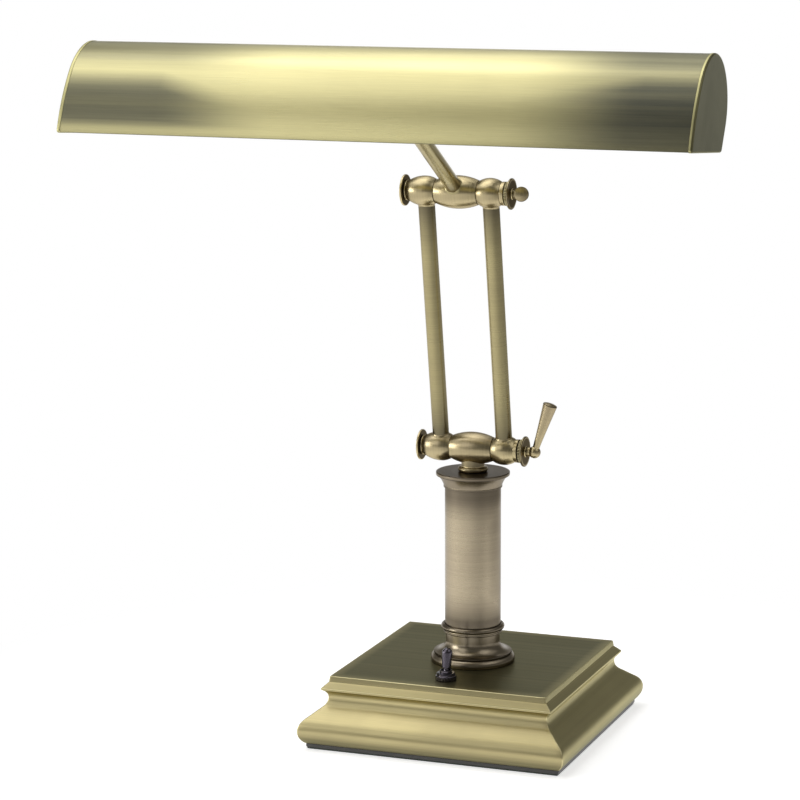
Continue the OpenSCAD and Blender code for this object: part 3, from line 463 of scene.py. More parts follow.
@lru_cache(maxsize=None)
def ageing() -> bpy.types.NodeTree:
    """Aged metal: blotches of patina, bright rubbed edges, dark hollows, and a darker or brighter tone, which
    on some pieces is painted shade.

    The mesh gives the tone and the crease. A tone above 0 mixes towards the hollows' colour, and one below 0
    towards the rubbed edges' colour. A crease is above 0 on edges and below 0 in hollows.

    Returns:
        The group.
    """
    colours = {name: ("Color", (0.5, 0.5, 0.5, 1)) for name in ("Clean", "Patina", "Rubbed", "Hollow")}
    scalars = ("Streaks", "Bands", "Blotch", "Blotch scale", "Wear", "Dirt", "Deep")
    values = {name: ("Float", 0.5) for name in scalars}
    results = {"Color": "Color", "Dull": "Float", "Mottle": "Float"}
    made, t, given, out = group("Ageing", colours | values, results)
    g = given.outputs
    place = t.add("TexCoord").outputs["Object"]
    cloud = t.add("TexNoise", {"Vector": place, "Scale": g["Blotch scale"], "Detail": 4.0, "Roughness": 0.55})
    mottle = t.span(cloud.outputs["Fac"], 0.34, 0.68)
    patina = t.math("MULTIPLY", mottle, g["Blotch"])
    patina = t.math("ADD", patina, t.math("MULTIPLY", t.math("SUBTRACT", g["Bands"], 0.5), 0.13), True)
    colour = t.mix(patina, g["Clean"], g["Patina"])
    tone = t.add("Attribute", attribute_name="tone").outputs["Fac"]
    uneven = t.math("ADD", 0.95, t.math("MULTIPLY", g["Bands"], 0.1))
    deep = t.math("MULTIPLY", t.math("MULTIPLY", tone, uneven), g["Deep"], True)
    colour = t.mix(deep, colour, g["Hollow"])
    turn = t.add("Attribute", attribute_name="crease").outputs["Fac"]
    broken = t.math("ADD", 0.55, t.math("MULTIPLY", g["Streaks"], 0.45))
    worn = t.math("MULTIPLY", t.span(turn, 0.25, 1.6), t.math("MULTIPLY", g["Wear"], broken), True)
    bright = t.math("MULTIPLY", tone, -1.0, True)
    colour = t.mix(t.math("MAXIMUM", worn, bright), colour, g["Rubbed"])
    dirty = t.math("MULTIPLY", t.span(t.math("MULTIPLY", turn, -1.0), 0.15, 1.2), g["Dirt"], True)
    colour = t.mix(dirty, colour, g["Hollow"])
    fine = t.math("ADD", 0.94, t.math("MULTIPLY", g["Streaks"], 0.12))
    shade = t.add("CombineColor", {0: fine, 1: fine, 2: fine})
    scaled = t.add("Mix", {0: 1.0, 6: colour, 7: shade.outputs[0]}, data_type="RGBA", blend_type="MULTIPLY")
    made.links.new(scaled.outputs[2], out.inputs["Color"])
    made.links.new(t.math("MAXIMUM", dirty, deep), out.inputs["Dull"])
    made.links.new(mottle, out.inputs["Mottle"])
    return made


def begun(name: str) -> tuple[bpy.types.Material, Tree]:
    """A material with an empty tree.

    Args:
        name: the material's name.

    Returns:
        The material and its tree.
    """
    look = bpy.data.materials.new(name)
    look.use_nodes = True
    look.node_tree.nodes.clear()
    return look, Tree(look.node_tree)


def ended(t: Tree, surface: dict) -> None:
    """Adds the Principled shader and the output."""
    shader = t.add("BsdfPrincipled", surface)
    t.add("OutputMaterial", {"Surface": shader.outputs[0]})


def opaque(colour: Colour) -> Opaque:
    """A colour with full alpha."""
    return (*colour, 1.0)


class Lay(Enum):
    """Which way a finish's brushing runs."""

    MESH = "along the piece's own grain map"
    LEVEL = "along X, for a frame node that has no grain map"


@dataclass(frozen=True)
class AgedMetal:
    """Brushed metal with patina, as a lacquered surface.

    Attributes:
        clean: colour of the metal itself.
        patina: colour of its tarnish.
        rubbed: colour of its worn edges.
        hollow: colour in its hollows and its darker places.
        roughness: blur of its reflections.
        lacquer: weight of the clear coat.
        along: brushing marks per metre along the grain.
        across: brushing marks per metre across it.
        relief: depth of the marks in millimetres.
        blotch: how much patina there is.
        blotch_scale: patches of patina per metre.
        wear: how bright the edges are.
        dirt: how dark the hollows are.
        deep: how dark the darker places are.
        edge: colour of its reflections at a glancing angle.
        least: how far below its roughness the smoothest places lie.
        streak_blur: how much rougher the brushing marks are.
        mottle_blur: how much rougher the patina is.
        dull_blur: how much rougher the hollows and darker places are.
        film_loss: share of the clear coat that is gone in the hollows and darker places.
        film_blur: roughness of the clear coat.
    """

    name: str
    clean: Colour
    patina: Colour
    rubbed: Colour
    hollow: Colour
    roughness: float = 0.3
    lacquer: float = 0.35
    along: float = 18.0
    across: float = 2600.0
    relief: float = 0.012
    blotch: float = 0.35
    blotch_scale: float = 14.0
    wear: float = 0.8
    dirt: float = 0.85
    deep: float = 1.0
    edge: Colour = (1.0, 1.0, 1.0)
    least: float = 0.035
    streak_blur: float = 0.05
    mottle_blur: float = 0.05
    dull_blur: float = 0.06
    film_loss: float = 0.8
    film_blur: float = 0.2

    @lru_cache(maxsize=None)
    def look(self, lay: Lay = Lay.MESH) -> bpy.types.Material:
        """Builds the material.

        Args:
            lay: which way the brushing runs.

        Returns:
            The material.
        """
        look, t = begun(f"{self.name}_{lay.name.lower()}")
        if lay is Lay.MESH:
            place = t.add("UVMap", uv_map=GRAIN_UV).outputs[0]
        else:
            place = t.add("TexCoord").outputs["Object"]
        marks = t.add("Group", node_tree=streaks())
        for key, value in (("Along", self.along), ("Across", self.across)):
            marks.inputs[key].default_value = value
        t.tree.links.new(place, marks.inputs["Place"])
        aged = t.add("Group", node_tree=ageing())
        given = {"Clean": opaque(self.clean), "Patina": opaque(self.patina), "Rubbed": opaque(self.rubbed),
                 "Hollow": opaque(self.hollow), "Blotch": self.blotch, "Blotch scale": self.blotch_scale,
                 "Wear": self.wear, "Dirt": self.dirt, "Deep": self.deep}
        for key, value in given.items():
            aged.inputs[key].default_value = value
        for key in ("Streaks", "Bands"):
            t.tree.links.new(marks.outputs[key], aged.inputs[key])
        streaked, dull = marks.outputs["Streaks"], aged.outputs["Dull"]
        rough = t.math("ADD", self.roughness - self.least, t.math("MULTIPLY", streaked, self.streak_blur))
        rough = t.math("ADD", rough, t.math("MULTIPLY", aged.outputs["Mottle"], self.mottle_blur))
        rough = t.math("ADD", rough, t.math("MULTIPLY", dull, self.dull_blur), True)
        bump = t.add("Bump", {"Height": streaked, "Distance": self.relief * MM, "Strength": 1.0})
        kept = t.math("SUBTRACT", 1.0, t.math("MULTIPLY", dull, self.film_loss))
        film = t.math("MULTIPLY", kept, self.lacquer)
        ended(t, {"Base Color": aged.outputs["Color"], "Metallic": 1.0, "Roughness": rough,
                  "Specular Tint": opaque(self.edge), "Normal": bump.outputs[0], "Coat Weight": film,
                  "Coat Roughness": self.film_blur, "Coat IOR": 1.5})
        return look


@dataclass(frozen=True)
class Grainy:
    """A plain stuff with a fine grain, such as felt, rubber, cast iron, paint, glaze or frosted glass.

    Attributes:
        colour: its colour.
        second: the colour of its grain.
        roughness: blur of its reflections.
        grains: grains per metre.
        relief: height of the grain in millimetres.
        metallic: 1 on bare metal.
        sheen: fuzz of cloth.
        coat: weight of a gloss coat.
        transmission: share of light that goes through glass.
    """

    name: str
    colour: Colour
    second: Colour
    roughness: float
    grains: float = 900.0
    relief: float = 0.02
    metallic: float = 0.0
    sheen: float = 0.0
    coat: float = 0.0
    transmission: float = 0.0

    @lru_cache(maxsize=None)
    def look(self) -> bpy.types.Material:
        """Builds the material.

        Returns:
            The material.
        """
        look, t = begun(self.name)
        place = t.add("TexCoord").outputs["Object"]
        fine = t.add("TexNoise", {"Vector": place, "Scale": self.grains, "Detail": 3.0, "Roughness": 0.6})
        broad = t.add("TexNoise", {"Vector": place, "Scale": self.grains * 0.06, "Detail": 2.0})
        blend = t.math("MULTIPLY", t.span(fine.outputs["Fac"], 0.3, 0.7),
                       t.span(broad.outputs["Fac"], 0.2, 0.8))
        colour = t.mix(blend, opaque(self.colour), opaque(self.second))
        rough = t.math("ADD", self.roughness - 0.04, t.math("MULTIPLY", fine.outputs["Fac"], 0.08), True)
        bump = t.add("Bump", {"Height": fine.outputs["Fac"], "Distance": self.relief * MM, "Strength": 0.7})
        ended(t, {"Base Color": colour, "Metallic": self.metallic, "Roughness": rough,
                  "Normal": bump.outputs[0], "Sheen Weight": self.sheen, "Coat Weight": self.coat,
                  "Coat Roughness": 0.08, "Transmission Weight": self.transmission, "IOR": 1.46})
        return look


@dataclass(frozen=True)
class Finishes:
    """The lamp's finishes."""

    moulding: AgedMetal = AgedMetal(
        "antique_brass", (0.53, 0.455, 0.232), (0.36, 0.31, 0.17), (0.95, 0.86, 0.5), (0.115, 0.105, 0.06),
        roughness=0.37, lacquer=0.22, across=3000.0, blotch=0.3, blotch_scale=11.0, relief=0.005, wear=0.8,
        edge=(0.96, 0.96, 0.76))
    shade: AgedMetal = AgedMetal(
        "antique_brass_shade", (0.6, 0.545, 0.268), (0.475, 0.435, 0.235), (0.95, 0.88, 0.48),
        (0.1, 0.1, 0.075), roughness=0.3, lacquer=0.5, along=30.0, across=3600.0, blotch=0.22,
        blotch_scale=7.0, relief=0.008, edge=(0.9, 0.9, 0.8))
    turning: AgedMetal = AgedMetal(
        "turned_brass", (0.5, 0.415, 0.225), (0.3, 0.23, 0.165), (0.95, 0.8, 0.45), (0.045, 0.035, 0.022),
        roughness=0.3, lacquer=0.55, along=8.0, across=900.0, blotch=0.45, blotch_scale=26.0, relief=0.0,
        edge=(0.45, 0.41, 0.35))
    column: AgedMetal = AgedMetal(
        "satin_brass", (0.5, 0.415, 0.275), (0.34, 0.27, 0.19), (0.9, 0.76, 0.5), (0.085, 0.068, 0.05),
        roughness=0.27, lacquer=1.0, along=8.0, across=1400.0, blotch=0.3, blotch_scale=22.0, relief=0.0004,
        edge=(0.45, 0.42, 0.37))
    tube: AgedMetal = AgedMetal(
        "satin_brass_tube", (0.45, 0.385, 0.185), (0.31, 0.255, 0.135), (0.9, 0.76, 0.45), (0.1, 0.085, 0.06),
        roughness=0.28, lacquer=0.7, along=8.0, across=1400.0, blotch=0.3, blotch_scale=22.0, relief=0.0,
        edge=(0.65, 0.6, 0.5))
    dark: AgedMetal = AgedMetal(
        "dark_brass", (0.29, 0.25, 0.13), (0.17, 0.15, 0.09), (0.8, 0.7, 0.4), (0.03, 0.026, 0.018),
        roughness=0.33, blotch=0.4, blotch_scale=60.0, relief=0.003, edge=(0.4, 0.36, 0.3))
    # The end plates' brass is a much darker copy of the shade's brass: painted shade for their faces.
    end_plate: AgedMetal = AgedMetal(
        "dark_brass_plate", (0.12, 0.113, 0.072), (0.085, 0.081, 0.055), (0.95, 0.88, 0.42),
        (0.04, 0.036, 0.025), roughness=0.36, lacquer=0.06, along=16.0, across=1800.0, blotch=0.4,
        blotch_scale=22.0, relief=0.004, wear=0.9, edge=(1.0, 1.0, 0.85))
    bare: AgedMetal = AgedMetal(
        "plain_brass", (0.72, 0.56, 0.28), (0.55, 0.4, 0.2), (0.95, 0.8, 0.45), (0.25, 0.18, 0.09),
        roughness=0.28, lacquer=0.0, blotch=0.3, blotch_scale=60.0)
    steel: AgedMetal = AgedMetal(
        "plated_steel", (0.55, 0.55, 0.54), (0.4, 0.4, 0.39), (0.8, 0.8, 0.78), (0.2, 0.2, 0.2),
        roughness=0.32, lacquer=0.0, blotch=0.3, blotch_scale=60.0)
    gunmetal: AgedMetal = AgedMetal(
        "gunmetal", (0.11, 0.095, 0.12), (0.07, 0.06, 0.075), (0.35, 0.31, 0.36), (0.015, 0.013, 0.015),
        roughness=0.2, lacquer=0.6, blotch=0.4, blotch_scale=120.0, relief=0.004)
    iron: Grainy = Grainy("cast_iron", (0.05, 0.05, 0.052), (0.11, 0.1, 0.095), 0.65, 420.0, 0.25,
                          metallic=0.6)
    felt: Grainy = Grainy("felt", (0.022, 0.03, 0.022), (0.05, 0.06, 0.05), 0.95, 1600.0, 0.3, sheen=0.5)
    paint: Grainy = Grainy("black_paint", (0.03, 0.029, 0.027), (0.05, 0.047, 0.042), 0.42, 1100.0, 0.03,
                           coat=0.3)
    plastic: Grainy = Grainy("black_plastic", (0.02, 0.02, 0.021), (0.035, 0.035, 0.036), 0.45, 1800.0, 0.02)
    sleeve: Grainy = Grainy("lead_sleeve", (0.02, 0.02, 0.02), (0.035, 0.035, 0.035), 0.55, 1500.0, 0.02)
    glaze: Grainy = Grainy("socket_glaze", (0.8, 0.78, 0.72), (0.72, 0.7, 0.64), 0.3, 500.0, 0.01, coat=0.5)
    frosted: Grainy = Grainy("frosted_glass", (0.93, 0.92, 0.88), (0.88, 0.87, 0.83), 0.42, 700.0, 0.008,
                             transmission=0.35)


FINISH = Finishes()


# Sub-assemblies


@dataclass
class Base:
    """The square base: one moulded shell on a cover plate, with felt under it and an inlet bush at the back.

    Attributes:
        bullnose: half width of the base at its bullnose.
        shell_foot: height that the shell stands on.
        waist: half width in the hollow under the lip.
        lip: half width of the lip.
        plate: half width of the top plate.
        plate_edge: height of the step under the top plate.
        top: height of the top plate.
        sheet_top: thickness of the top plate.
        wall: thickness of the shell's sides.
        foot_width: width of the shell's foot.
        corner: rounding of the corners seen from above.
        slab_corner: the same, of the cover plate and the felt.
        rod_hole: radius of the hole for the rod.
        rod_at: place of that hole's middle along Y.
        cover_inset: how far the cover plate stands back from the bullnose.
        felt: thickness of the felt.
        inlet: radius of the cord's inlet.
        side_steps: points along each side.
        top_tones: darkness of the top plate at its edge, and how much darker it is further in.
        tone_reach: distance from the edge over which it darkens.
        step_tone: darkness of the step under the plate.
        lip_tone: darkness of the lip.
        lip_span: heights between which the lip's tone lies.
        under_painted_shadow: painted shadow that darkens the bullnose's underside.
        right_painted_shade: painted shade on the right side's slope, and how much darker it is lower down.
    """

    bullnose: float = 81.5
    bullnose_radius: float = 9.0
    bullnose_height: float = 10.61
    shell_foot: float = 3.5
    waist: float = 67.2
    waist_height: float = 29.4
    cove_radius: float = 6.9
    lip_cove_radius: float = 5.0
    lip: float = 70.6
    lip_height: float = 35.1
    plate: float = 66.4
    plate_edge: float = 39.0
    top: float = 42.0
    sheet_top: float = 2.5
    wall: float = 2.7
    foot_width: float = 7.0
    corner: float = 0.7
    slab_corner: float = 1.0
    rod_hole: float = 5.0
    rod_at: float = -3.0
    cover_inset: float = 4.0
    felt: float = 1.0
    inlet: float = 3.2
    side_steps: int = 42
    top_tones: tuple[float, float] = (0.45, 0.5)
    tone_reach: float = 7.0
    step_tone: float = 0.4
    lip_tone: float = 0.22
    lip_span: tuple[float, float] = (30.0, 38.0)
    under_painted_shadow: float = 0.74
    right_painted_shade: tuple[float, float] = (0.3, 0.4)

    def moulding(self) -> Array:
        """Half a section of the shell, from its foot over the moulding and the plate and back inside.

        The slope is the line that touches the bullnose circle and the cove circle, so both arcs stop at the
        angle where it does.

        Returns:
            The points (half width, height).
        """
        bull = (self.bullnose - self.bullnose_radius, self.bullnose_height)
        cove = (self.waist + self.cove_radius, self.waist_height)
        reach = self.cove_radius + self.bullnose_radius
        apart = (cove[0] - bull[0], cove[1] - bull[1])
        touch = math.degrees(math.atan2(apart[1], apart[0]) - math.acos(reach / math.hypot(*apart)))
        start = math.degrees(math.asin((self.bullnose_height - self.shell_foot) / self.bullnose_radius))
        over = self.waist + self.lip_cove_radius
        lip_angle = math.degrees(math.acos((self.lip - over) / self.lip_cove_radius))
        foot_inside = self.bullnose - self.foot_width
        line = Outline().to(foot_inside, self.shell_foot)
        line.along(arc(bull, self.bullnose_radius, -start, touch, 26))
        line.along(arc(cove, self.cove_radius, touch + 180, 180, 14))
        line.along(arc((over, self.waist_height), self.lip_cove_radius, 180, lip_angle, 12)[1:-1])
        lip_foot = self.waist_height + self.lip_cove_radius * math.sin(math.radians(lip_angle))
        line.to(self.lip, lip_foot, 0.3).to(self.lip, self.lip_height, 0.45)
        line.to(self.plate + 0.1, self.plate_edge, 0.12).to(self.plate + 0.5, self.plate_edge, 0.12)
        inside = self.top - self.sheet_top
        line.to(self.plate, self.top, 0.45).to(self.rod_hole, self.top).to(self.rod_hole, inside)
        line.to(self.plate - self.wall, inside).to(self.waist - self.wall, self.waist_height)
        line.to(foot_inside, self.bullnose_height + 1.5)
        return line.drawn(step=0.8, chords=6)

    def square(self, halves: Array, corner: float) -> tuple[Array, Array]:
        """A square ring with slightly rounded corners for each half width, and its length all round.

        Each quarter runs along one side, then round a corner on an arc about (half - corner, half - corner).

        Args:
            halves: the half widths.
            corner: rounding of the corners.

        Returns:
            The rings, as points round the square by half widths by 2, and the length at each point round.
        """
        along = np.linspace(-1, 1, self.side_steps)
        a = np.radians(np.linspace(0, 90, 6))[1:-1]
        quarters, lengths = [], []
        for k in range(4):
            c, s = round(math.cos(k * math.pi / 2)), round(math.sin(k * math.pi / 2))
            flat = halves[None, :] - corner
            side = np.stack([flat + corner + 0 * along[:, None], flat * along[:, None]], 2)
            bend = np.stack([flat + corner * np.cos(a)[:, None], flat + corner * np.sin(a)[:, None]], 2)
            quarter = np.concatenate([side, bend])
            quarters.append(quarter @ np.array([[c, s], [-s, c]], float))
            middle = np.concatenate([along * self.plate, self.plate + 0.3 * np.arange(1, len(a) + 1)])
            lengths.append(middle + 3 * self.plate * k)
        lengths.append(lengths[0][:1] + 12 * self.plate)
        return np.concatenate(quarters), np.concatenate(lengths)

    def shell(self) -> bpy.types.Object:
        """The shell: its section carried round the square.

        Returns:
            The piece.
        """
        outline = self.moulding()
        ring, length = self.square(outline[:, 0], self.corner)
        points = np.concatenate([ring, np.broadcast_to(outline[:, 1], ring.shape[:2])[:, :, None]], 2)
        points[:, outline[:, 0] < self.rod_hole + 0.1, 1] += self.rod_at
        across = run_length(outline, True)
        grain = np.stack(np.meshgrid(length, across, indexing="ij"), 2)
        flat = (outline[:, 1] > self.top - 0.05) & (outline[:, 0] < self.plate - 0.2)
        grain[:-1, :-1][:, flat] = points[:, flat, :2]
        grain[-1, :-1][flat] = points[0, flat, :2]
        sheet = sheet_of(points, outline, grain, True, True, self.patina(points, outline, flat))
        quarter = len(points) // 4
        bend = np.arange(len(points)) % quarter >= self.side_steps
        sheet.turn = np.where(bend[:, None] & ~flat[None, :], 1.0, sheet.turn)
        piece = skin("base_moulding", [sheet])
        return placed(piece, "base", "antique_brass", FINISH.moulding.look(), "base_shell")

    def patina(self, points: Array, outline: Array, flat: Array) -> Array:
        """Darkness of the shell: most on its top plate, then on its step and its lip, with a painted shadow
        low down under the bullnose and painted shade on the right side.

        Args:
            points: the shell's points.
            outline: its section.
            flat: which of the section's points lie on the flat top.

        Returns:
            The tone at each point.
        """
        wide, height = outline[:, 0], outline[:, 1]
        inset = np.clip((self.plate - wide) / self.tone_reach, 0, 1)
        tone = np.where(flat, self.top_tones[0] + self.top_tones[1] * inset, 0.0)
        tone = np.where((height > self.plate_edge - 0.2) & ~flat, self.step_tone, tone)
        tone = np.where((height > self.lip_span[0]) & (height < self.lip_span[1]), self.lip_tone, tone)
        # Painted shadow: the bullnose's underside is darkened low down, where it faces the shaded floor.
        below = np.clip((self.bullnose_height + 1 - height) / 5, 0, 1)
        tone = np.where(wide > self.bullnose - 6, np.maximum(tone, self.under_painted_shadow * below), tone)
        # Painted shade: the slope on the right side is darker, and darker still low down, where it faces away
        # from the lamps.
        right = np.clip((points[:, :, 0] - np.abs(points[:, :, 1])) / 2, 0, 1)
        slope = (height < self.waist_height) & (wide > self.waist)
        aside = np.where(slope, self.right_painted_shade[0] + self.right_painted_shade[1] * below, 0.0)
        return np.maximum(tone, right * aside)

    def slab(self, name: str, half: float, low: float, high: float, edge: float) -> bpy.types.Object:
        """A square slab with rounded edges, closed in the middle.

        Args:
            name: name of the piece.
            half: its half width.
            low: height of its underside.
            high: height of its top.
            edge: rounding of its edges.

        Returns:
            The piece.
        """
        line = Outline().to(0.01, low).to(half, low, edge).to(half, high, edge).to(0.01, high)
        outline = line.drawn(closed=False, step=2.0, chords=4)
        ring, length = self.square(np.maximum(outline[:, 0], self.slab_corner + 0.01), self.slab_corner)
        ring[:, outline[:, 0] < 0.5] = 0.0
        points = np.concatenate([ring, np.broadcast_to(outline[:, 1], ring.shape[:2])[:, :, None]], 2)
        grain = np.stack(np.meshgrid(length, run_length(outline, False), indexing="ij"), 2)
        return skin(name, [sheet_of(points, outline, grain, True, False)])

    def bush(self) -> bpy.types.Object:
        """The cord's inlet bush: a flange with a rounded bore, turned about Y.

        Returns:
            The piece.
        """
        flange, thickness, barrel, length = 7, 2, 4.9, 10
        line = Outline().to(0, self.inlet, 0.8).to(0, flange, 0.7).to(thickness, flange, 0.3)
        line.to(thickness, barrel, 0.2).to(length, barrel, 0.5).to(length, self.inlet, 0.3)
        backwards = np.array(Matrix.Rotation(-math.pi / 2, 4, "Z"))
        place = shift(0, self.bullnose, self.bullnose_height) @ backwards
        piece = skin("inlet_bush", [turned(line.drawn(step=1.2, chords=5), True, 64)], place)
        return placed(piece, "base", "black_plastic", FINISH.plastic.look(), "cord_gland")

    def build(self) -> None:
        """Builds the base."""
        self.shell()
        cover = self.bullnose - self.cover_inset
        plate = self.slab("cover_sheet", cover, self.felt, self.shell_foot, 0.5)
        placed(plate, "base", "cover_steel", FINISH.paint.look(), "cover_plate")
        felt = self.slab("felt_sheet", cover - 0.5, 0.0, self.felt, 0.3)
        placed(felt, "base", "felt", FINISH.felt.look(), "felt_pad")
        self.bush()


@dataclass
class Switch:
    """The toggle switch on the top plate, with its knurled nut, ring, bushing and lever.

    Heights of its nut and ring are taken from the plate, and sizes of its lever from the pivot.

    Attributes:
        front: distance of its axis in front of the base's middle.
        plate: height of the top plate.
        thread: radius inside the nut.
        teeth: number of knurling teeth.
        tooth: depth of the knurling.
        pivot: height of the lever's pivot.
        pin_radius: radius of the lever's pin below its ball.
        lean: the lever's angle from the vertical in degrees, backwards below 0.
    """

    front: float = 50.0
    plate: float = 42.0
    nut_radius: float = 6.15
    nut_height: float = 2.6
    ring_radius: float = 5.5
    ring_height: float = 1.8
    bushing_radius: float = 3.5
    bushing_bore: float = 2.9
    bushing_top: float = 48.0
    bushing_sunk: float = 2.5
    thread: float = 3.55
    teeth: int = 24
    tooth: float = 0.25
    pivot: float = 45.5
    pin_radius: float = 1.0
    ball_radius: float = 2.3
    shoulder: float = 3.4
    shoulder_radius: float = 2.7
    tip: float = 15.3
    tip_radius: float = 3.1
    lean: float = -10.0

    def build(self) -> None:
        """Builds the nut with its ring, the bushing and the lever."""
        look = FINISH.gunmetal.look()
        nut_top = self.plate + self.nut_height
        ring_top = nut_top + self.ring_height
        line = Outline().to(self.plate, self.thread).to(self.plate, self.nut_radius, 0.3)
        line.to(nut_top, self.nut_radius, 0.45).to(nut_top, self.ring_radius, 0.12)
        line.to(ring_top, self.ring_radius, 0.7).to(ring_top, self.thread)
        outline = line.drawn(step=0.4, chords=5)
        share = ((outline[:, 1] > self.ring_radius + 0.2) & (outline[:, 0] < nut_top - 0.2)).astype(float)
        place = shift(0, -self.front) @ UPRIGHT
        knurled = turned(outline, True, STEPS_PER_TOOTH * self.teeth, 0, self.teeth, self.tooth, share)
        nut = skin("switch_nut_knurled", [knurled], place)
        placed(nut, "base", "gunmetal", look, "switch_nut")
        low = self.plate - self.bushing_sunk
        line = Outline().to(low, self.bushing_bore).to(low, self.bushing_radius)
        line.to(self.bushing_top, self.bushing_radius, 0.35).to(self.bushing_top, self.bushing_bore, 0.2)
        bushing = skin("switch_bushing_turned", [turned(line.drawn(step=0.5), True, 64)], place)
        placed(bushing, "base", "gunmetal", look, "switch_bushing")
        dome = self.tip - self.tip_radius
        line = Outline().to(-3.3, 0).to(-3.3, self.pin_radius, 0.3).to(-2.07, self.pin_radius)
        line.along(arc((0, 0), self.ball_radius, 154, 46, 14)).to(self.shoulder, 1.6, 0.3)
        line.to(self.shoulder, self.shoulder_radius, 0.35)
        line.along(arc((dome, 0), self.tip_radius, 90, 0, 14))
        lever = skin("switch_toggle_lever", [turned(line.drawn(closed=False, step=0.5), False, 64)],
                     shift(0, -self.front, self.pivot) @ turn_x(self.lean) @ UPRIGHT)
        placed(lever, "toggle", "gunmetal", look, "switch_lever")


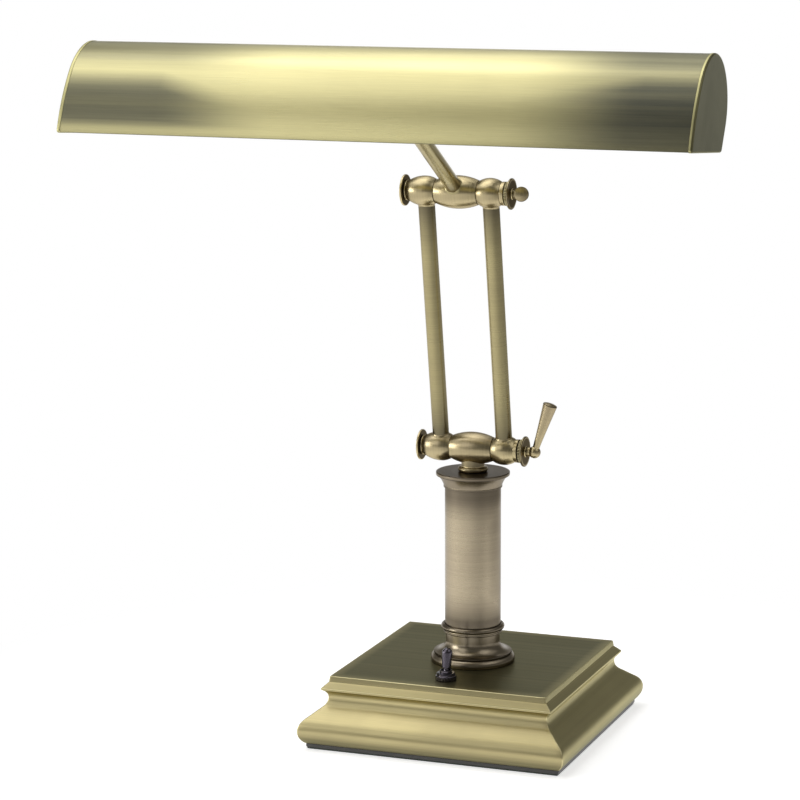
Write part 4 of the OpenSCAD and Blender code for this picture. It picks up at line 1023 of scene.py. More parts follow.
@dataclass
class Column:
    """The turned column: foot, tube and capital, with the neck that carries the lower hinge.

    Attributes:
        place: matrix of the column's axis.
        plate: height of the top plate that it stands on.
        radius: radius of the tube.
        bore: its radius inside.
        foot: height of the foot.
        capital: height of the capital.
        top: height of the capital's top.
        lip: radius of the capital's lip.
        lip_height: height of the lip.
        flare: how much wider the flare is at its upper end.
        flare_foot: radius of its lower end.
        flare_hollow: how far it is hollowed.
        neck: radius of the neck.
        neck_length: its length above the capital.
        neck_bore: its radius inside.
        foot_tone: darkness of the foot.
        capital_tones: darkness of the capital's flat top, and of the rest of it.
        tube_tones: darkness of the tube at its ends, and of the painted shade on one side.
        painted_shade_side: direction of the side with painted shade, in degrees.
        neck_tone: darkness of the neck above its bead.
    """

    place: Array
    plate: float = 42.0
    radius: float = 16.6
    bore: float = 15.4
    foot: float = 22.7
    capital: float = 9.3
    top: float = 156.8
    lip: float = 21.85
    lip_height: float = 2.2
    flare: float = 3.4
    flare_foot: float = 17.2
    flare_hollow: float = 0.35
    neck: float = 6.8
    neck_length: float = 9.0
    neck_bore: float = 2.2
    segments: int = 144
    tube_segments: int = 128
    foot_tone: float = 0.5
    capital_tones: tuple[float, float] = (0.88, 0.6)
    tube_tones: tuple[float, float] = (0.8, 0.9)
    painted_shade_side: float = 290.0
    neck_tone: float = 0.35

    def foot_outline(self) -> Array:
        """The foot from its ring, over the step, the concave sweep and the fillet, up to the bead.

        Returns:
            The points (height, radius).
        """
        z, waist, seat = self.plate, 16.1, self.radius + 0.05
        line = Outline().to(z, 13.5).to(z, 24.6)
        line.along(arc((z + 1.7, 21.9), 3.2, 122, 12, 22)[1:]).to(z + 4.95, 22.3, 0.1)
        line.to(z + 5.0, 23.3, 0.25).to(z + 5.9, 23.3, 0.35).to(z + 6.0, 22.9, 0.1)
        line.along(arc((z + 12.8, 22.9), 6.8, 182, 270, 24)).to(z + 17.7, waist, 0.25)
        line.to(z + 17.7, 17.5, 0.25).to(z + 18.9, 17.5, 0.25).to(z + 18.9, 17.1, 0.1).to(z + 19.5, 17.1, 0.1)
        line.along(arc((z + 21.05, 17.25), 1.65, 165, 0, 18)).to(z + 22.7, seat).to(z + 19.7, seat)
        line.to(z + 19.7, 13.5)
        return line.drawn(step=0.6, chords=4)

    def capital_outline(self) -> Array:
        """The capital from its collar, up the slightly hollow flare, to the lip and the flat top.

        Returns:
            The points (height, radius).
        """
        z, lip, seat = self.top - self.capital, self.top - self.lip_height, self.radius + 0.05
        line = Outline().to(z, seat).to(z, 17.4, 0.3).to(z + 1.0, 17.4, 0.3)
        line.to(z + 1.05, self.flare_foot, 0.1)
        share = np.linspace(0, 1, 13)[1:]
        hollow = self.flare_hollow * 4 * share * (1 - share)
        rise = z + 1.05 + (lip - z - 1.15) * share + hollow * 0.5
        line.along(np.stack([rise, self.flare_foot + self.flare * share - hollow * 0.87], 1))
        line.to(lip, 20.6).to(lip, self.lip, 0.5).to(self.top, self.lip, 0.55).to(self.top, 4.9)
        line.to(z + 4.0, 4.9).to(z + 4.0, seat)
        return line.drawn(step=0.6, chords=5)

    def tube(self) -> bpy.types.Object:
        """The plain tube, darker towards both its ends, with painted shade down one side.

        Returns:
            The piece.
        """
        low, high = self.plate + self.foot - 3.0, self.top - self.capital + 4.0
        line = Outline().to(low, self.bore).to(low, self.radius).to(high, self.radius).to(high, self.bore)
        outline = line.drawn(step=1.2)
        mid = (self.plate + self.foot + self.top - self.capital) / 2
        half = (self.top - self.capital - self.plate - self.foot) / 2
        ends = np.clip((np.abs(outline[:, 0] - mid) / half - 0.48) / 0.42, 0, 1)
        a = np.linspace(0, 2 * math.pi, self.tube_segments, endpoint=False)[:, None]
        # Painted shade: the tube is darker on one side, the side away from the lamps.
        aside = np.clip(np.cos(a - math.radians(self.painted_shade_side)) - 0.5, 0, 1)
        tone = np.maximum(self.tube_tones[0] * ends**1.3, self.tube_tones[1] * aside)
        sheet = turned(outline, True, self.tube_segments, tone)
        return skin("column_tube_turned", [sheet], self.place @ UPRIGHT)

    def build(self) -> None:
        """Builds the foot, the tube, the capital and the neck."""
        look = FINISH.column.look()
        place = self.place @ UPRIGHT
        sheet = turned(self.foot_outline(), True, self.segments, self.foot_tone)
        foot = skin("column_foot_turned", [sheet], place)
        placed(foot, "base", "satin_brass", look, "column_foot")
        placed(self.tube(), "base", "satin_brass", look, "column_tube")
        outline = self.capital_outline()
        flat = (outline[:, 0] > self.top - 0.06) & (outline[:, 1] < 21.2)
        sheet = turned(outline, True, self.segments, np.where(flat, *self.capital_tones))
        capital = skin("column_capital_turned", [sheet], place)
        placed(capital, "base", "satin_brass", look, "column_capital")
        neck_top = self.top + self.neck_length
        line = Outline().to(self.top, self.neck_bore).to(self.top, 7.2)
        line.along(arc((self.top + 1.5, 7.4), 1.5, 170, 5, 18)).to(self.top + 3.0, self.neck, 0.2)
        line.to(neck_top, self.neck).to(neck_top, self.neck_bore)
        outline = line.drawn(step=0.5, chords=4)
        tone = np.where(outline[:, 0] > self.top + 3.2, self.neck_tone, 0)
        neck = skin("neck_turned", [turned(outline, True, 96, tone)], place)
        placed(neck, "base", "antique_brass", FINISH.turning.look(), "lower_neck")


@dataclass
class HingeStack:
    """The pieces threaded on one hinge bolt, along X from the middle outwards.

    Attributes:
        name: lower or upper.
        place: matrix of the arms' end that the hubs and caps belong to.
        barrel_place: matrix of the barrel.
        barrel_body: body that the barrel rides on.
        arm_side: 1 where the arms leave upwards in the place's axes, and -1 downwards.
        bore: radius of the bolt's hole.
        barrel: half length of the barrel.
        barrel_radius: its radius in the middle.
        end_radius: radius of the barrel's ends and of the hubs next to them.
        hub_start: where the hubs begin.
        arm_at: where the arms stand, and where the hubs are widest.
        hub_radius: radius of the hubs there.
        collar_end: where the right hub's collar ends.
        fillet_size: reach of the fillets round the arms.
        cap_start: where the cap's disc begins.
        cap_dome: how far the disc's face bulges.
        cap_tone: darkness of the groove behind the disc.
        spacer_start: where the spacer behind the knurled ring begins.
        knurl: where the knurling begins and ends.
        toothed_from: radius outside which the ring has teeth.
        spacer_edge: radius inside which it has the spacer's tone.
        teeth: number of knurling teeth.
        tooth: depth of the knurling.
        spacer_tone: darkness of the spacer.
        tooth_tones: tone of the teeth's crowns, and the negative of the tone in their gaps.
    """

    name: str
    place: Array
    barrel_place: Array
    barrel_body: str
    arm_side: int
    bore: float = 3.05
    barrel: float = 12.95
    barrel_radius: float = 9.6
    end_radius: float = 6.9
    hub_start: float = 13.05
    arm_at: float = 19.6
    hub_radius: float = 8.75
    left_end: float = 30.2
    left_radius: float = 5.5
    right_end: float = 26.8
    right_radius: float = 6.35
    collar_end: float = 29.0
    fillet_size: float = 0.9
    cap_start: float = 31.5
    cap_radius: float = 9.05
    cap_dome: float = 0.6
    cap_tone: float = 0.8
    spacer_start: float = 29.1
    knurl: tuple[float, float] = (29.4, 31.5)
    knurl_radius: float = 6.95
    toothed_from: float = 6.55
    spacer_edge: float = 6.5
    spacer_radius: float = 5.5
    teeth: int = 48
    tooth: float = 0.45
    spacer_tone: float = 0.9
    tooth_tones: tuple[float, float] = (-0.9, -0.8)

    def hub_radius_at(self, x: Array, side: int) -> Array:
        """Radius of a hub's bulb at a place along the axis, from its two circles.

        Args:
            x: places along the axis.
            side: -1 for the left hub and 1 for the right one.

        Returns:
            The radius at each place.
        """
        end, low = (self.left_end, self.left_radius) if side < 0 else (self.right_end, self.right_radius)
        inner = self.swell_radius(self.arm_at - self.hub_start, self.hub_radius - self.end_radius)
        outer = self.swell_radius(end - self.arm_at, self.hub_radius - low)
        radius = np.where(x < self.arm_at, inner, outer)
        return self.hub_radius - radius + np.sqrt(radius**2 - (x - self.arm_at) ** 2)

    @staticmethod
    def swell_radius(chord: float, rise: float) -> float:
        """Radius of the circle that rises by rise over a half chord: (chord^2 + rise^2) / (2 rise)."""
        return (chord**2 + rise**2) / (2 * rise)

    def barrel_radius_at(self, x: Array) -> Array:
        """Radius of the barrel at a place along the axis."""
        radius = self.swell_radius(self.barrel, self.barrel_radius - self.end_radius)
        return self.barrel_radius - radius + np.sqrt(radius**2 - x**2)

    def barrel_piece(self) -> bpy.types.Object:
        """The barrel, a bulge that falls to both its ends.

        Returns:
            The piece.
        """
        x = np.linspace(-self.barrel, self.barrel, 41)
        line = Outline().to(-self.barrel, self.bore).to(-self.barrel, self.end_radius, 0.35)
        line.along(np.stack([x, self.barrel_radius_at(x)], 1)[1:-1])
        line.to(self.barrel, self.end_radius, 0.35).to(self.barrel, self.bore)
        sheet = turned(line.drawn(step=0.7), True, 112)
        piece = skin(f"{self.name}_barrel_turned", [sheet], self.barrel_place)
        return placed(piece, self.barrel_body, "antique_brass", FINISH.turning.look(), f"{self.name}_barrel")

    def hub(self, side: int) -> bpy.types.Object:
        """A hub, with a collar on the right, and the fillet round the arm that enters it.

        Args:
            side: -1 for the left hub and 1 for the right one.

        Returns:
            The piece.
        """
        line = Outline().to(self.hub_start, self.bore).to(self.hub_start, self.end_radius, 0.35)
        x = np.linspace(self.hub_start, self.left_end if side < 0 else self.right_end, 41)
        line.along(np.stack([x, self.hub_radius_at(x, side)], 1)[1:])
        if side < 0:
            line.to(self.left_end, self.bore)
        else:
            line.to(self.right_end + 0.05, self.end_radius - 0.05, 0.25)
            line.to(self.collar_end, self.end_radius, 0.3).to(self.collar_end, self.bore)
        surface = partial(self.hub_radius_at, side=side)
        fillet = self.fillet(self.arm_at, surface, self.fillet_size)
        sheets = [turned(line.drawn(step=0.7), True, 104), fillet]
        mirror = np.diag([side, 1.0, self.arm_side, 1.0])
        word = "left" if side < 0 else "right"
        piece = skin(f"{self.name}_hub_{word}_turned", sheets, self.place @ mirror)
        return placed(piece, "arms", "antique_brass", FINISH.turning.look(), f"{self.name}_hub_{word}")

    @staticmethod
    def fillet(at: float, surface: Callable[[Array], Array], size: float, root: float = 4.85) -> Sheet:
        """The fillet round a tube that stands on a turned surface.

        The surface's height at distance d and angle a round the tube is the root of its radius squared less
        the sideways distance squared. Between d = tube + size there and size above it on the tube, the fillet
        follows a parabola, and its hidden sides close inside both.

        Args:
            at: place of the tube along the turned surface's axis.
            surface: radius of the turned surface at a place along its axis.
            size: how far the fillet reaches.
            root: radius of the tube.

        Returns:
            The fillet.
        """
        inwards, under, below = 0.4, 1.2, 0.5
        a = np.linspace(0, 2 * math.pi, 72, endpoint=False)[:, None]

        def height(d: Array) -> Array:
            """Height of the surface at distance d from the tube's axis."""
            return np.sqrt(surface(at + d * np.cos(a)) ** 2 - (d * np.sin(a)) ** 2)

        t = np.linspace(0, 1, 9)[None, :]
        foot = height(root + size)
        corner = height(np.array(root))
        d = root + size * (1 - t) ** 2 + 0 * a
        z = (1 - t) ** 2 * foot + 2 * t * (1 - t) * corner + t**2 * (corner + size)
        inside = 0 * a + root - inwards
        deep = np.stack([np.concatenate([d, inside, inside, 0 * a + root + size], 1),
                         np.concatenate([z, corner + size, corner - under, foot - below], 1)], 2)
        points = np.stack([at + deep[:, :, 0] * np.cos(a), deep[:, :, 0] * np.sin(a), deep[:, :, 1]], 2)
        outline = deep[0]
        length = np.linspace(0, 2 * math.pi, len(a) + 1) * root
        grain = np.stack(np.meshgrid(length, run_length(outline, True), indexing="ij"), 2)
        turn = np.full(points.shape[:2], -0.25)
        return Sheet(points, grain, turn, np.zeros(points.shape[:2]), True, True)

    def cap(self) -> bpy.types.Object:
        """The turned cap on the bolt's left end: a shoulder, a groove and a domed disc.

        Returns:
            The piece.
        """
        start, radius = self.cap_start, self.cap_radius
        line = Outline().to(30.3, self.bore).to(30.3, 5.9, 0.2).to(31.1, 5.9, 0.2).to(31.1, 5.2, 0.1)
        line.to(start, 5.2, 0.1).to(start, radius, 0.35).to(start + 1.1, radius, 0.45)
        dome = self.swell_radius(radius, self.cap_dome)
        edge = math.degrees(math.asin(8.5 / dome))
        line.along(arc((33.2 - dome, 0), dome, edge, 0, 12))
        line.to(32.25, 0).to(32.25, self.bore)
        outline = line.drawn(closed=False, step=0.6)
        closed = np.vstack([outline, outline[:1]])
        mirror = np.diag([-1.0, 1.0, 1.0, 1.0])
        groove = (closed[:, 0] < start + 0.05) & (closed[:, 0] > 30.9)
        tone = np.where(groove, self.cap_tone, 0.0)
        piece = skin(f"{self.name}_cap_turned", [turned(closed, False, 96, tone)], self.place @ mirror)
        return placed(piece, "arms", "antique_brass", FINISH.turning.look(), f"{self.name}_cap")

    def ring(self) -> bpy.types.Object:
        """The knurled lock ring, with bright teeth and dark gaps, and the dark spacer behind it.

        Returns:
            The piece.
        """
        start, end = self.knurl
        line = Outline().to(self.spacer_start, self.bore).to(self.spacer_start, self.spacer_radius, 0.1)
        line.to(start, self.spacer_radius).to(start, self.knurl_radius, 0.2)
        line.to(end, self.knurl_radius, 0.2).to(end, self.bore)
        outline = line.drawn(step=0.3, chords=4)
        share = (outline[:, 1] > self.toothed_from).astype(float)
        segments = STEPS_PER_TOOTH * self.teeth
        ridge = np.cos(self.teeth * np.linspace(0, 2 * math.pi, segments, endpoint=False))[:, None]
        crown, gap = self.tooth_tones
        tone = np.where(ridge > 0, crown * ridge, gap * ridge)
        tone = np.where(outline[:, 1] < self.spacer_edge, self.spacer_tone, tone)
        sheet = turned(outline, True, segments, tone, self.teeth, self.tooth, share)
        piece = skin(f"{self.name}_lock_ring_knurled", [sheet], self.place)
        return placed(piece, "arms", "dark_brass", FINISH.dark.look(), f"{self.name}_lock_ring")

    def build(self) -> None:
        """Builds the barrel, the hubs, the cap and the lock ring."""
        self.barrel_piece()
        self.hub(-1)
        self.hub(1)
        self.cap()
        self.ring()


@dataclass
class Lever:
    """A clamping lever: a nut with a disc, a neck and a ball, and a flared handle that leans outwards.

    Attributes:
        name: lower or upper.
        place: matrix of the bolt's axis, turned so that the handle stands along its Z.
        ball_at: place of the ball's middle along the bolt.
        thread: radius of the nut's thread.
        thread_end: how far the thread reaches in.
        neck: radius of the neck between the disc and the ball.
        face_tone: darkness of the disc's face round the neck.
        length: distance of the handle's tip from the ball's middle.
        root_at: where the handle begins.
        flare_at: where it begins to widen.
        root: its radius where it begins.
        tip: its radius at its tip.
        tip_dome: how far its end bulges.
        splay: how far it leans outwards in degrees.
    """

    name: str
    place: Array
    disc_start: float = 31.6
    disc_end: float = 32.8
    disc_radius: float = 8.95
    ball_at: float = 38.1
    ball_radius: float = 3.6
    thread: float = 1.8
    thread_end: float = 36.5
    neck: float = 2.8
    face_tone: float = 0.85
    length: float = 31.0
    root_at: float = 2.2
    flare_at: float = 4.2
    root: float = 2.0
    root_step: float = 0.05
    tip: float = 4.25
    tip_dome: float = 0.8
    splay: float = 18.3

    def build(self) -> None:
        """Builds the nut and the handle."""
        body = f"{self.name}_lever"
        line = Outline().to(self.disc_start, self.thread).to(self.disc_start, self.disc_radius, 0.35)
        line.to(self.disc_end, self.disc_radius, 0.45).to(self.disc_end, self.neck, 0.5)
        meet = math.degrees(math.asin(self.neck / self.ball_radius))
        line.along(arc((self.ball_at, 0), self.ball_radius, 180 - meet, 0, 26))
        line.to(self.thread_end, 0).to(self.thread_end, self.thread)
        outline = line.drawn(closed=False, step=0.5)
        closed = np.vstack([outline, outline[:1]])
        face = (closed[:, 0] > self.disc_end - 0.06) & (closed[:, 0] < self.disc_end + 0.6)
        tone = np.where(face & (closed[:, 1] < 8.0), self.face_tone, 0.0)
        nut = skin(f"{self.name}_lever_nut_turned", [turned(closed, False, 96, tone)], self.place)
        placed(nut, body, "antique_brass", FINISH.turning.look(), f"{self.name}_lever_nut")
        start, foot = self.flare_at, self.root + self.root_step
        line = Outline().to(self.root_at, 0).to(self.root_at, self.root).to(start, foot)
        t = np.linspace(0, 1, 24)[1:]
        along = start + (self.length - self.tip_dome - start) * t
        flare = np.stack([along, foot + (self.tip - foot) * t**1.15], 1)
        line.along(flare[:-1]).to(*flare[-1], 0.55)
        dome = HingeStack.swell_radius(self.tip, self.tip_dome)
        edge = math.degrees(math.asin((self.tip - 0.5) / dome))
        line.along(arc((self.length - dome, 0), dome, edge, 0, 8))
        sheet = turned(line.drawn(closed=False, step=0.7), False, 72)
        place = self.place @ shift(self.ball_at) @ turn_y(self.splay) @ UPRIGHT
        handle = skin(f"{self.name}_lever_handle_turned", [sheet], place)
        placed(handle, body, "antique_brass", FINISH.turning.look(), f"{self.name}_lever_handle")


@dataclass
class Arms:
    """The two arm tubes between the hinges.

    Attributes:
        place: matrix of the lower hinge, with Z towards the upper one.
        length: distance between the hinges.
        radius: radius of the tubes.
        wall: their thickness.
        at: distance of each from the middle.
        sunk: distance of their ends from the hinges' axes.
        end_tone: darkness at their ends.
        tone_reach: distance over which it fades.
    """

    place: Array
    length: float
    radius: float = 4.85
    wall: float = 1.0
    at: float = 19.6
    sunk: float = 5.0
    end_tone: float = 0.75
    tone_reach: float = 34.0

    def build(self) -> None:
        """Builds both tubes, darker where they enter the hubs."""
        low, high = self.sunk, self.length - self.sunk
        line = Outline().to(low, self.radius - self.wall).to(low, self.radius)
        line.to(high, self.radius).to(high, self.radius - self.wall)
        outline = line.drawn(step=1.5)
        ends = np.minimum(outline[:, 0] - low, high - outline[:, 0])
        tone = self.end_tone * np.clip(1 - (ends - 4) / self.tone_reach, 0, 1) ** 1.5
        for side, word in ((-1, "left"), (1, "right")):
            tube = skin(f"arm_{word}_tube", [turned(outline, True, 72, tone)],
                        self.place @ shift(side * self.at) @ UPRIGHT)
            placed(tube, "arms", "satin_brass", FINISH.tube.look(), f"arm_{word}")


@dataclass(frozen=True)
class Patina:
    """A dark patch at one end of the shade, that fades towards the shade's middle.

    Attributes:
        side: 1 at the right end and -1 at the left.
        gone: distance from the middle where it begins to show.
        full: distance from the middle where it is full.
        slant: how much lower its upper side lies for each step towards the middle.
        crest: height that the slant stops at.
        heights: lengths up the sheet from its lower edge.
        levels: how dark it is at each of those lengths.
    """

    side: int
    gone: float
    full: float
    slant: float
    crest: float
    heights: tuple[float, ...]
    levels: tuple[float, ...]

    def tone(self, along: Array, up: Array) -> Array:
        """Darkness at each place along the shade and at each length up the sheet.

        Args:
            along: places along the shade.
            up: lengths up the sheet.

        Returns:
            Places by lengths.
        """
        out = (along * self.side)[:, None]
        share = np.clip((out - self.gone) / (self.full - self.gone), 0, 1)
        lower = self.slant * np.clip(self.full - out, 0, None) * np.clip((up - 5) / 15, 0, 1)
        at = np.where(up < self.crest, np.minimum(up + lower, self.crest), up)
        return share * share * (3 - 2 * share) * np.interp(at, self.heights, self.levels)


@dataclass
class Shade:
    """The head: the stem, the long shade with its end plates, and the sockets and bulbs in it.

    The head's own axes are x along the shade, y across the stem and z along the stem.

    Attributes:
        place: matrix of the upper hinge.
        barrel: the upper hinge, for the weld round the stem.
        front: radius and last angle of each arc down the front wall.
        plate_front: the same, of the end plates.
        half_length: half of the shade's length.
        end_plate: thickness of the end plates.
        sheet: thickness of the sheet.
        radius: radius of the arch.
        rise: place of its middle across the stem.
        back: distance of the back wall from the hinge.
        back_leg: how far the back wall reaches down from the arch.
        rim: rounding of the end plates' rims.
        rim_lap: how far the rims stand over the sheet.
        rim_tone: tone of the rims, which are rubbed bright.
        plate_corner: rounding of the plates' lower corners.
        flange_at: inset of the flange's outside and inside.
        flange_depth: how far it reaches in.
        flange_tone: its darkness.
        patches: the dark patches of the sheet.
    """

    place: Array
    barrel: HingeStack
    front: tuple[tuple[float, float], ...] = ((36.0, 82.0), (100.0, 101.3), (20.0, 114.0))
    plate_front: tuple[tuple[float, float], ...] = ((36.0, 82.0), (100.0, 103.9))
    half_length: float = 178.0
    end_plate: float = 1.2
    sheet: float = 1.0
    radius: float = 26.2
    rise: float = -0.6
    back: float = 97.5
    back_leg: float = 14.4
    rim: float = 1.3
    rim_lap: float = 0.25
    rim_tone: float = -0.5
    plate_corner: float = 2.2
    flange_at: tuple[float, float] = (1.05, 1.85)
    flange_depth: float = 5.0
    flange_tone: float = 0.3
    stem_radius: float = 4.55
    stem_bore: float = 2.1
    stem_tone: float = 0.6
    patches: tuple[Patina, ...] = (
        Patina(-1, 45.0, 122.0, 0.3, 38.0, (1.0, 3.5, 8.0, 27.0, 38.0, 47.0),
               (0.2, 0.35, 0.85, 0.85, 0.2, 0.6)),
        Patina(1, 72.0, 148.0, 0.2, 42.0, (1.0, 6.0, 15.0, 35.0, 42.0, 50.0),
               (0.75, 0.9, 1.0, 0.95, 0.6, 0.8)),
    )

    @property
    def middle(self) -> float:
        """Place of the shade's middle along the stem."""
        return self.back + self.radius

    def walls(self, inset: float, turns: tuple[tuple[float, float], ...]) -> Array:
        """The section from the back edge over the arch and down the front, inset from the outside.

        Each arc touches the one before it, so its middle lies on the line from their shared point through the
        last middle.

        Args:
            inset: distance inwards from the outside.
            turns: radius and last angle of each arc after the arch, which ends at 45 degrees.

        Returns:
            The points (across the stem, along the stem).
        """
        middle, radius, angle = np.array([self.rise, self.middle]), self.radius, 45.0
        back_edge = np.array([[self.rise - self.back_leg, self.back + inset]])
        path = [back_edge, arc(middle, radius - inset, -90, angle, 44)]
        for wider, stop in turns:
            a = math.radians(angle)
            middle = middle + (radius - wider) * np.array([math.cos(a), math.sin(a)])
            path.append(arc(middle, wider - inset, angle, stop, 12)[1:])
            radius, angle = wider, stop
        return np.vstack(path)

    def section(self) -> Array:
        """The sheet's section, outside and then back inside, with the hem turned in below the front wall.

        Returns:
            The points (across the stem, along the stem).
        """
        line = Outline()
        outside, inside = (self.walls(inset, self.front) for inset in (0.0, self.sheet))
        line.to(*outside[0], 0.35).along(outside[1:-1]).to(*outside[-1], 0.35)
        line.to(*inside[-1], 0.35).along(inside[-2:0:-1]).to(*inside[0], 0.35)
        return line.drawn(step=1.1, chords=4)

    def end_outline(self, inset: float, corner: float) -> Array:
        """The closed section of an end plate, inset from the shade's outside, with rounded lower corners.

        Args:
            inset: distance inwards from the outside.
            corner: rounding of the lower corners.

        Returns:
            The points (across the stem, along the stem).
        """
        wall = self.walls(inset, self.plate_front)
        wall[0, 0] += inset
        line = Outline().to(*wall[0], corner).along(wall[1:-1])
        line.to(*(wall[-1] + np.array([inset, 0.2 * inset])), corner)
        return line.drawn(step=1.6, chords=5)

    def shell(self) -> bpy.types.Object:
        """The sheet along X, with closely spaced stations near its ends.

        Returns:
            The piece.
        """
        half = self.half_length - self.end_plate
        near = half - np.array([0, 0.5, 1.5, 4, 9])
        stations = np.concatenate([-near, np.linspace(-half + 18, half - 18, 60), near[::-1]])
        outline = self.section()
        length = run_length(outline, True)[:-1]
        edge = np.argmin(np.linalg.norm(outline - self.walls(0.0, self.front)[-1], axis=1))
        up = length[edge] - length
        tone = sum(patch.tone(stations, up) for patch in self.patches) * (up >= 0)
        return skin("shade_sheet", [self.closed(carried(outline, stations, tone=tone))], self.place)

    @staticmethod
    def closed(sheet: Sheet) -> Sheet:
        """Draws each end row in to the middle of the sheet's thickness, so the cut ends close.

        Args:
            sheet: the sheet, open at both ends.

        Returns:
            The closed sheet.
        """
        middle = (sheet.points + np.roll(sheet.points[:, ::-1], 1, axis=1)) / 2
        points = np.concatenate([middle[:1], sheet.points, middle[-1:]])
        parts = (sheet.grain, sheet.turn, sheet.tone)
        grain, turn, tone = (np.concatenate([part[:1], part, part[-1:]]) for part in parts)
        return Sheet(points, grain, turn, tone, False, True)

    def plate(self, side: int) -> bpy.types.Object:
        """An end plate: a rounded rim that laps over the sheet, a flat face, and a flange inside.

        Args:
            side: -1 for the left plate and 1 for the right one.

        Returns:
            The piece.
        """
        inner, lap, reach = self.half_length - self.end_plate - 1.0, self.rim_lap, 12.0
        section = Outline().to(reach, inner + 0.9).to(1.1, inner + 0.9).to(1.05, inner).to(-lap, inner, 0.2)
        section.to(-lap, self.half_length, self.rim).to(reach, self.half_length)
        across = section.drawn(closed=False, step=1.0, chords=8)
        outline = self.end_outline(0.0, self.plate_corner)
        tangent = np.roll(outline, -1, 0) - np.roll(outline, 1, 0)
        normal = np.stack([-tangent[:, 1], tangent[:, 0]], 1) / np.linalg.norm(tangent, axis=1)[:, None]
        centre = np.array([-2.0, self.middle])
        ray = centre - outline
        ray /= np.linalg.norm(ray, axis=1)[:, None]
        # Every point moves along its own ray to the centre, so a narrow corner can't fold over
        least_slant, rim_width = 0.55, 2.0
        ray /= np.maximum(np.abs((ray * normal).sum(1)), least_slant)[:, None]
        near = np.clip(across[:, 0], -lap, rim_width)
        share = np.clip((across[:, 0] - rim_width) / (reach - rim_width), 0, 1)
        ring = outline[:, None] + ray[:, None] * near[None, :, None]
        ring = ring + (centre - ring) * share[None, :, None]
        points = np.concatenate([np.broadcast_to(across[:, 1], ring.shape[:2])[:, :, None], ring], 2)
        points[:, :, 0] *= side
        grain = np.concatenate([points[:, :, 1:], points[:1, :, 1:]])
        rim_top = (across[:, 0] < 0.75) & (across[:, 1] > inner + 0.05)
        face = sheet_of(points, across, grain, True, False, np.where(rim_top, self.rim_tone, 0.0))
        word = "left" if side < 0 else "right"
        piece = skin(f"shade_end_{word}_plate", [face, self.flange(side)], self.place)
        return placed(piece, "head", "dark_brass", FINISH.end_plate.look(), f"shade_end_{word}")

    def flange(self, side: int) -> Sheet:
        """The flange inside the sheet's end, a thin strip that follows the section.

        Args:
            side: -1 for the left plate and 1 for the right one.

        Returns:
            The flange.
        """
        outer, inner = (self.end_outline(inset, 1.0) for inset in self.flange_at)
        count = min(len(outer), len(inner))
        outer, inner = outer[:count], inner[:count]
        x0, x1 = self.half_length - self.end_plate - self.flange_depth, self.half_length - 0.5
        corners = [(x0, outer), (x1, outer), (x1, inner), (x0, inner)]
        points = [np.concatenate([np.full((count, 1), x * side), line], 1) for x, line in corners]
        points = np.stack(points, 1)
        grain = np.stack(np.meshgrid(np.arange(count + 1) * 1.0, np.arange(5) * 5.0, indexing="ij"), 2)
        level = np.zeros(points.shape[:2])
        return Sheet(points, grain, level, level + self.flange_tone, True, True)

    def stem(self) -> bpy.types.Object:
        """The stem from inside the barrel to the shade's back wall, with a weld fillet at the barrel.

        Returns:
            The piece.
        """
        start, clear, fade = 6.0, 9, 12
        line = Outline().to(start, self.stem_bore).to(start, self.stem_radius)
        line.to(self.back, self.stem_radius, 0.2).to(self.back, self.stem_bore)
        outline = line.drawn(step=1.2)
        tone = self.stem_tone * np.clip(1 - (outline[:, 0] - clear) / fade, 0, 1)
        tube = turned(outline, True, 72, tone)
        tube.points = tube.points @ UPRIGHT[:3, :3].T
        weld = self.barrel.fillet(0.0, self.barrel.barrel_radius_at, 0.8, self.stem_radius)
        return skin("stem_tube", [tube, weld], self.place)

    def socket(self, side: int) -> None:
        """A socket and the glass tube of its bulb, turned about the bulbs' common axis.

        Args:
            side: -1 for the left socket and 1 for the right one.
        """
        word = "left" if side < 0 else "right"
        place = self.place @ shift(0, 0, self.middle) @ np.diag([side, 1.0, 1.0, 1.0])
        wide, groove, bore, hole = 16, 15.5, 13.5, 4.85
        start, floor, end = 12, 22, 50
        line = Outline().to(start, hole).to(start, wide, 1.2).to(27, wide, 0.3)
        line.to(27.6, groove, 0.2).to(28.4, groove, 0.2).to(29, wide, 0.3)
        line.to(end, wide, 0.6).to(end, bore, 0.3).to(floor, bore).to(floor, hole)
        sleeve = skin(f"socket_{word}_sleeve", [turned(line.drawn(step=1.5), True, 96)], place)
        placed(sleeve, "head", "socket_white", FINISH.glaze.look(), f"socket_{word}")
        dome, radius, glass, neck, neck_inside = 146.4, 15.9, 0.8, 12.55, 11.75
        line = Outline().to(44, neck_inside).to(44, neck).to(50.3, neck, 0.3).to(50.3, radius, 2.0)
        line.along(arc((dome, 0), radius, 90, 0, 18)).along(arc((dome, 0), radius - glass, 0, 90, 18))
        line.to(51.1, radius - glass, 1.5).to(51.1, neck_inside, 0.3)
        outline = line.drawn(closed=False, step=3.0)
        outline = np.vstack([outline, outline[:1]])
        tube = skin(f"bulb_{word}_tube", [turned(outline, False, 80)], place)
        placed(tube, "head", "bulb_glass", FINISH.frosted.look(), f"bulb_glass_{word}")

    def build(self) -> None:
        """Builds the stem, the shade, its end plates, the sockets and the bulbs."""
        placed(self.stem(), "head", "antique_brass", FINISH.tube.look(), "stem")
        placed(self.shell(), "head", "antique_brass", FINISH.shade.look(), "shade_shell")
        for side in (-1, 1):
            self.plate(side)
            self.socket(side)


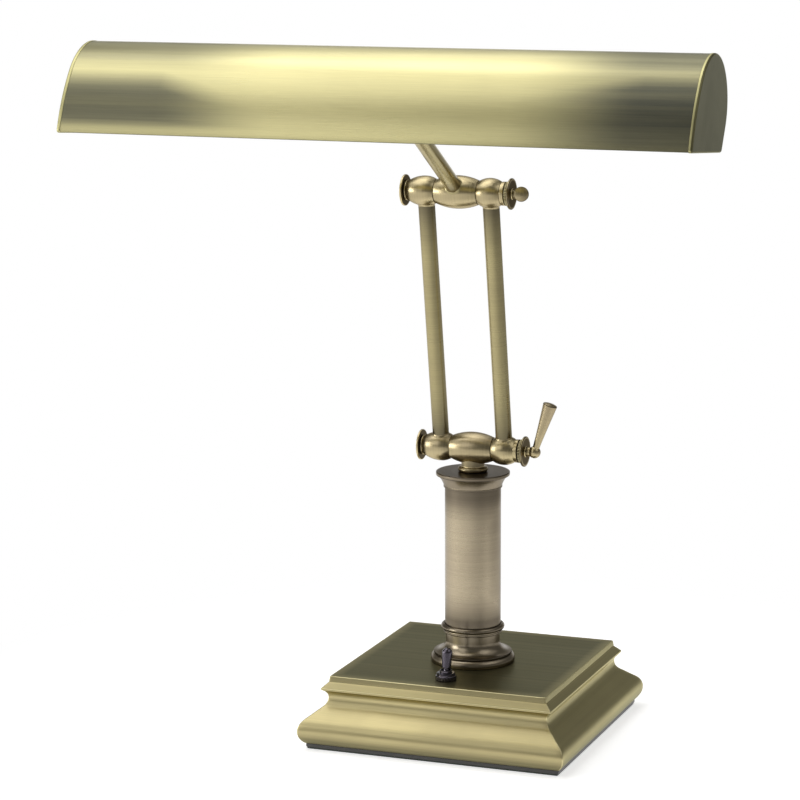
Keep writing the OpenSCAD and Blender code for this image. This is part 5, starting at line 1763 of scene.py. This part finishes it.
@dataclass
class Inside:
    """The pieces that stay as the frame holds them, hidden in the lamp, with their own finishes."""

    def build(self) -> None:
        """Gives each node that stays its finish."""
        bare, steel, sleeve = FINISH.bare.look(Lay.LEVEL), FINISH.steel.look(Lay.LEVEL), FINISH.sleeve.look()
        looks = {
            "base_weight": FINISH.iron.look(),
            "cover_screws": steel, "column_rod": steel, "rod_washer": steel, "rod_nut": steel,
            "lower_bolt": steel, "upper_bolt": steel,
            "switch_body": FINISH.plastic.look(), "switch_terminals": bare,
            "column_lead": sleeve, "arm_lead": sleeve, "stem_lead": sleeve,
            "stem_nipple": bare, "stem_nut": bare, "socket_bracket": bare, "socket_pipes": bare,
            "socket_nuts": bare, "bulb_base_left": bare, "bulb_base_right": bare,
        }
        for node, look in looks.items():
            mesh = frame["nodes"][node].data
            mesh.materials.clear()
            mesh.materials.append(look)
        LOG.info("%d frame nodes dressed", len(looks))


@dataclass(frozen=True)
class Softbox:
    """A square soft lamp.

    Attributes:
        name: its name.
        at: its place in metres.
        size: its side in metres.
        watts: its power.
    """

    name: str
    at: tuple[float, float, float]
    size: float
    watts: float

    def build(self, aim: Vector) -> None:
        """Adds the lamp, facing a point.

        Args:
            aim: the point, in metres.
        """
        data = bpy.data.lights.new(self.name, "AREA")
        data.shape, data.size, data.size_y = "RECTANGLE", self.size, self.size
        data.energy = self.watts
        lamp = bpy.data.objects.new(self.name, data)
        bpy.context.scene.collection.objects.link(lamp)
        lamp.location = self.at
        lamp.rotation_euler = (aim - lamp.location).to_track_quat("-Z", "Y").to_euler()


@dataclass
class Studio:
    """A pale floor, soft lamps and the camera at the photograph's viewing angle.

    Attributes:
        azimuth: angle of the camera round the lamp in degrees, from the front towards the right.
        pitch: angle of the camera above the horizon.
        roll: turn of the camera about its own axis.
        position: place of the camera in millimetres.
        lens: its focal length in millimetres.
        sensor: width of its sensor in millimetres.
        middle: the point that the soft lamps face, in metres.
        boxes: the soft lamps.
    """

    azimuth: float = 20.838
    pitch: float = 10.509
    roll: float = 0.223
    position: tuple[float, float, float] = (559.7, -1594.01, 512.2)
    lens: float = 131.425
    sensor: float = 36.0
    middle: tuple[float, float, float] = (0.0, -0.08, 0.25)
    boxes: tuple[Softbox, ...] = (
        Softbox("key_left", (-1.63, -0.94, 0.52), 0.8, 10.0),
        Softbox("overhead", (-0.49, -0.33, 1.64), 1.2, 6.0),
        Softbox("top_back", (-0.35, 0.3, 1.66), 1.0, 3.6),
        Softbox("high_right", (1.03, -0.26, 1.33), 1.0, 2.5),
        Softbox("high_left", (-1.03, -0.26, 1.33), 1.0, 2.3),
        Softbox("front", (-0.67, -1.25, 0.91), 0.8, 2.2),
        Softbox("high_back", (-0.36, 0.9, 1.33), 1.0, 2.0),
        Softbox("back_right", (0.9, 0.44, 1.33), 1.0, 1.1),
    )

    def camera(self) -> None:
        """Sets the camera: its back axis comes from azimuth and pitch, and roll turns it about that axis."""
        a, e, roll = (math.radians(v) for v in (self.azimuth, self.pitch, self.roll))
        back = np.array([math.sin(a) * math.cos(e), -math.cos(a) * math.cos(e), math.sin(e)])
        right = np.array([math.cos(a), math.sin(a), 0.0])
        up = np.cross(back, right)
        x = math.cos(roll) * right - math.sin(roll) * up
        y = math.sin(roll) * right + math.cos(roll) * up
        data = bpy.data.cameras.new("camera")
        data.lens, data.sensor_width, data.sensor_fit = self.lens, self.sensor, "HORIZONTAL"
        data.clip_start, data.clip_end = 0.05, 50
        camera = bpy.data.objects.new("camera", data)
        bpy.context.scene.collection.objects.link(camera)
        rows = np.stack([x, y, back], 1).tolist()
        place = Matrix(rows).to_4x4()
        place.translation = Vector(self.position) * MM
        camera.matrix_world = place
        bpy.context.scene.camera = camera

    def floor(self) -> None:
        """A round pale floor that takes the lamp's soft shadow and becomes plain white further out.

        The white sweep runs under the lamp and behind it. The room beside it and in front of it is dimmer,
        most of all on the right.
        """
        radii = np.concatenate([[0.0], np.geomspace(0.1, 6.0, 24)]) * 1000
        outline = np.stack([np.full(len(radii), -0.4), radii], 1)
        sheet = turned(outline, False, 64)
        floor = skin("floor", [sheet], UPRIGHT)
        look, t = begun("pale_floor")
        place = t.add("TexCoord").outputs["Object"]
        away = t.add("VectorMath", {0: place}, operation="LENGTH").outputs["Value"]
        far = t.span(away, 0.17, 0.36)
        a = math.radians(self.azimuth)
        depth = t.towards(place, -math.sin(a), math.cos(a))
        beside = t.towards(place, math.cos(a), math.sin(a))
        width = t.math("ADD", t.math("MULTIPLY", t.math("MAXIMUM", depth, 0.0), 0.2), 0.36)
        aside = t.math("DIVIDE", t.math("ABSOLUTE", beside), width)
        sweep = t.math("MULTIPLY", t.span(aside, 0.85, 1.5, 1.0, 0.0), t.span(depth, -0.4, -0.15))
        near = t.add("BsdfDiffuse", {"Color": (0.9, 0.9, 0.9, 1), "Roughness": 0.0})
        glow = t.add("Emission", {"Color": (1, 1, 1, 1), "Strength": 0.6})
        lit = t.add("AddShader", {0: near.outputs[0], 1: glow.outputs[0]})
        dim = t.span(beside, -0.6, 0.6, 0.95, 0.4)
        level = t.math("ADD", t.math("MULTIPLY", sweep, t.math("SUBTRACT", 1.0, dim)), dim)
        white = t.add("Emission", {"Color": (1, 1, 1, 1), "Strength": level})
        both = t.add("MixShader", {0: far, 1: lit.outputs[0], 2: white.outputs[0]})
        t.add("OutputMaterial", {"Surface": both.outputs[0]})
        floor.data.materials.append(look)

    def world(self) -> None:
        """A studio round the lamp: a dim room with a white backdrop behind the lamp and pale walls beside it.

        The backdrop fades out a little above the horizon, and the walls fade out lower still.
        """
        world = bpy.data.worlds.new("studio")
        bpy.context.scene.world = world
        world.use_nodes = True
        world.node_tree.nodes.clear()
        t = Tree(world.node_tree)
        direction = t.add("TexCoord").outputs["Generated"]
        a = math.radians(self.azimuth)
        behind = t.towards(direction, -math.sin(a), math.cos(a))
        beside = t.towards(direction, math.cos(a), math.sin(a))
        height = t.add("SeparateXYZ", {0: direction}).outputs[2]
        low = t.span(height, 0.14, 0.34, 1.0, 0.0)
        sides = t.span(t.math("ABSOLUTE", beside), 0.4, 0.75, 0.0, 0.7)
        sides = t.math("MULTIPLY", sides, t.span(height, -0.02, 0.09, 1.0, 0.0))
        backdrop = t.math("MULTIPLY", low, t.span(behind, 0.72, 0.93))
        backdrop = t.math("MAXIMUM", backdrop, sides)
        colour = t.mix(backdrop, opaque((0.13, 0.13, 0.125)), opaque((1.0, 1.0, 1.0)))
        back = t.add("Background", {"Color": colour, "Strength": 1.0})
        t.add("OutputWorld", {"Surface": back.outputs[0]})

    def build(self) -> None:
        """Sets the camera, the floor, the world and the lamps."""
        self.camera()
        self.floor()
        self.world()
        bpy.context.scene.view_settings.view_transform = "Standard"
        for box in self.boxes:
            box.build(Vector(self.middle))


def main() -> None:
    """Builds the studio and the lamp's sub-assemblies in order."""
    Studio().build()
    joints = {joint["name"]: Vector(joint["pos_m"]) / MM for joint in frame["joints"]}
    low, high = joints["arm_tilt"], joints["shade_tilt"]
    reach = high - low
    lean = math.degrees(math.atan2(-reach.y, reach.z))
    lower = shift(*low)
    arms = lower @ turn_x(lean)
    arms_top = arms @ shift(0, 0, reach.length)
    head = shift(*high) @ turn_x(90 - STEM_RISE)
    Base().build()
    Switch().build()
    Column(shift(low.x, low.y)).build()
    lower_stack = HingeStack("lower", arms, lower, "base", 1)
    upper_stack = HingeStack("upper", arms_top, head, "head", -1)
    lower_stack.build()
    upper_stack.build()
    Arms(arms, reach.length).build()
    Lever("lower", lower).build()
    Lever("upper", shift(*high) @ turn_x(UPPER_LEVER_TURN)).build()
    Shade(head, upper_stack).build()
    Inside().build()


if __name__ == "__main__":
    main()
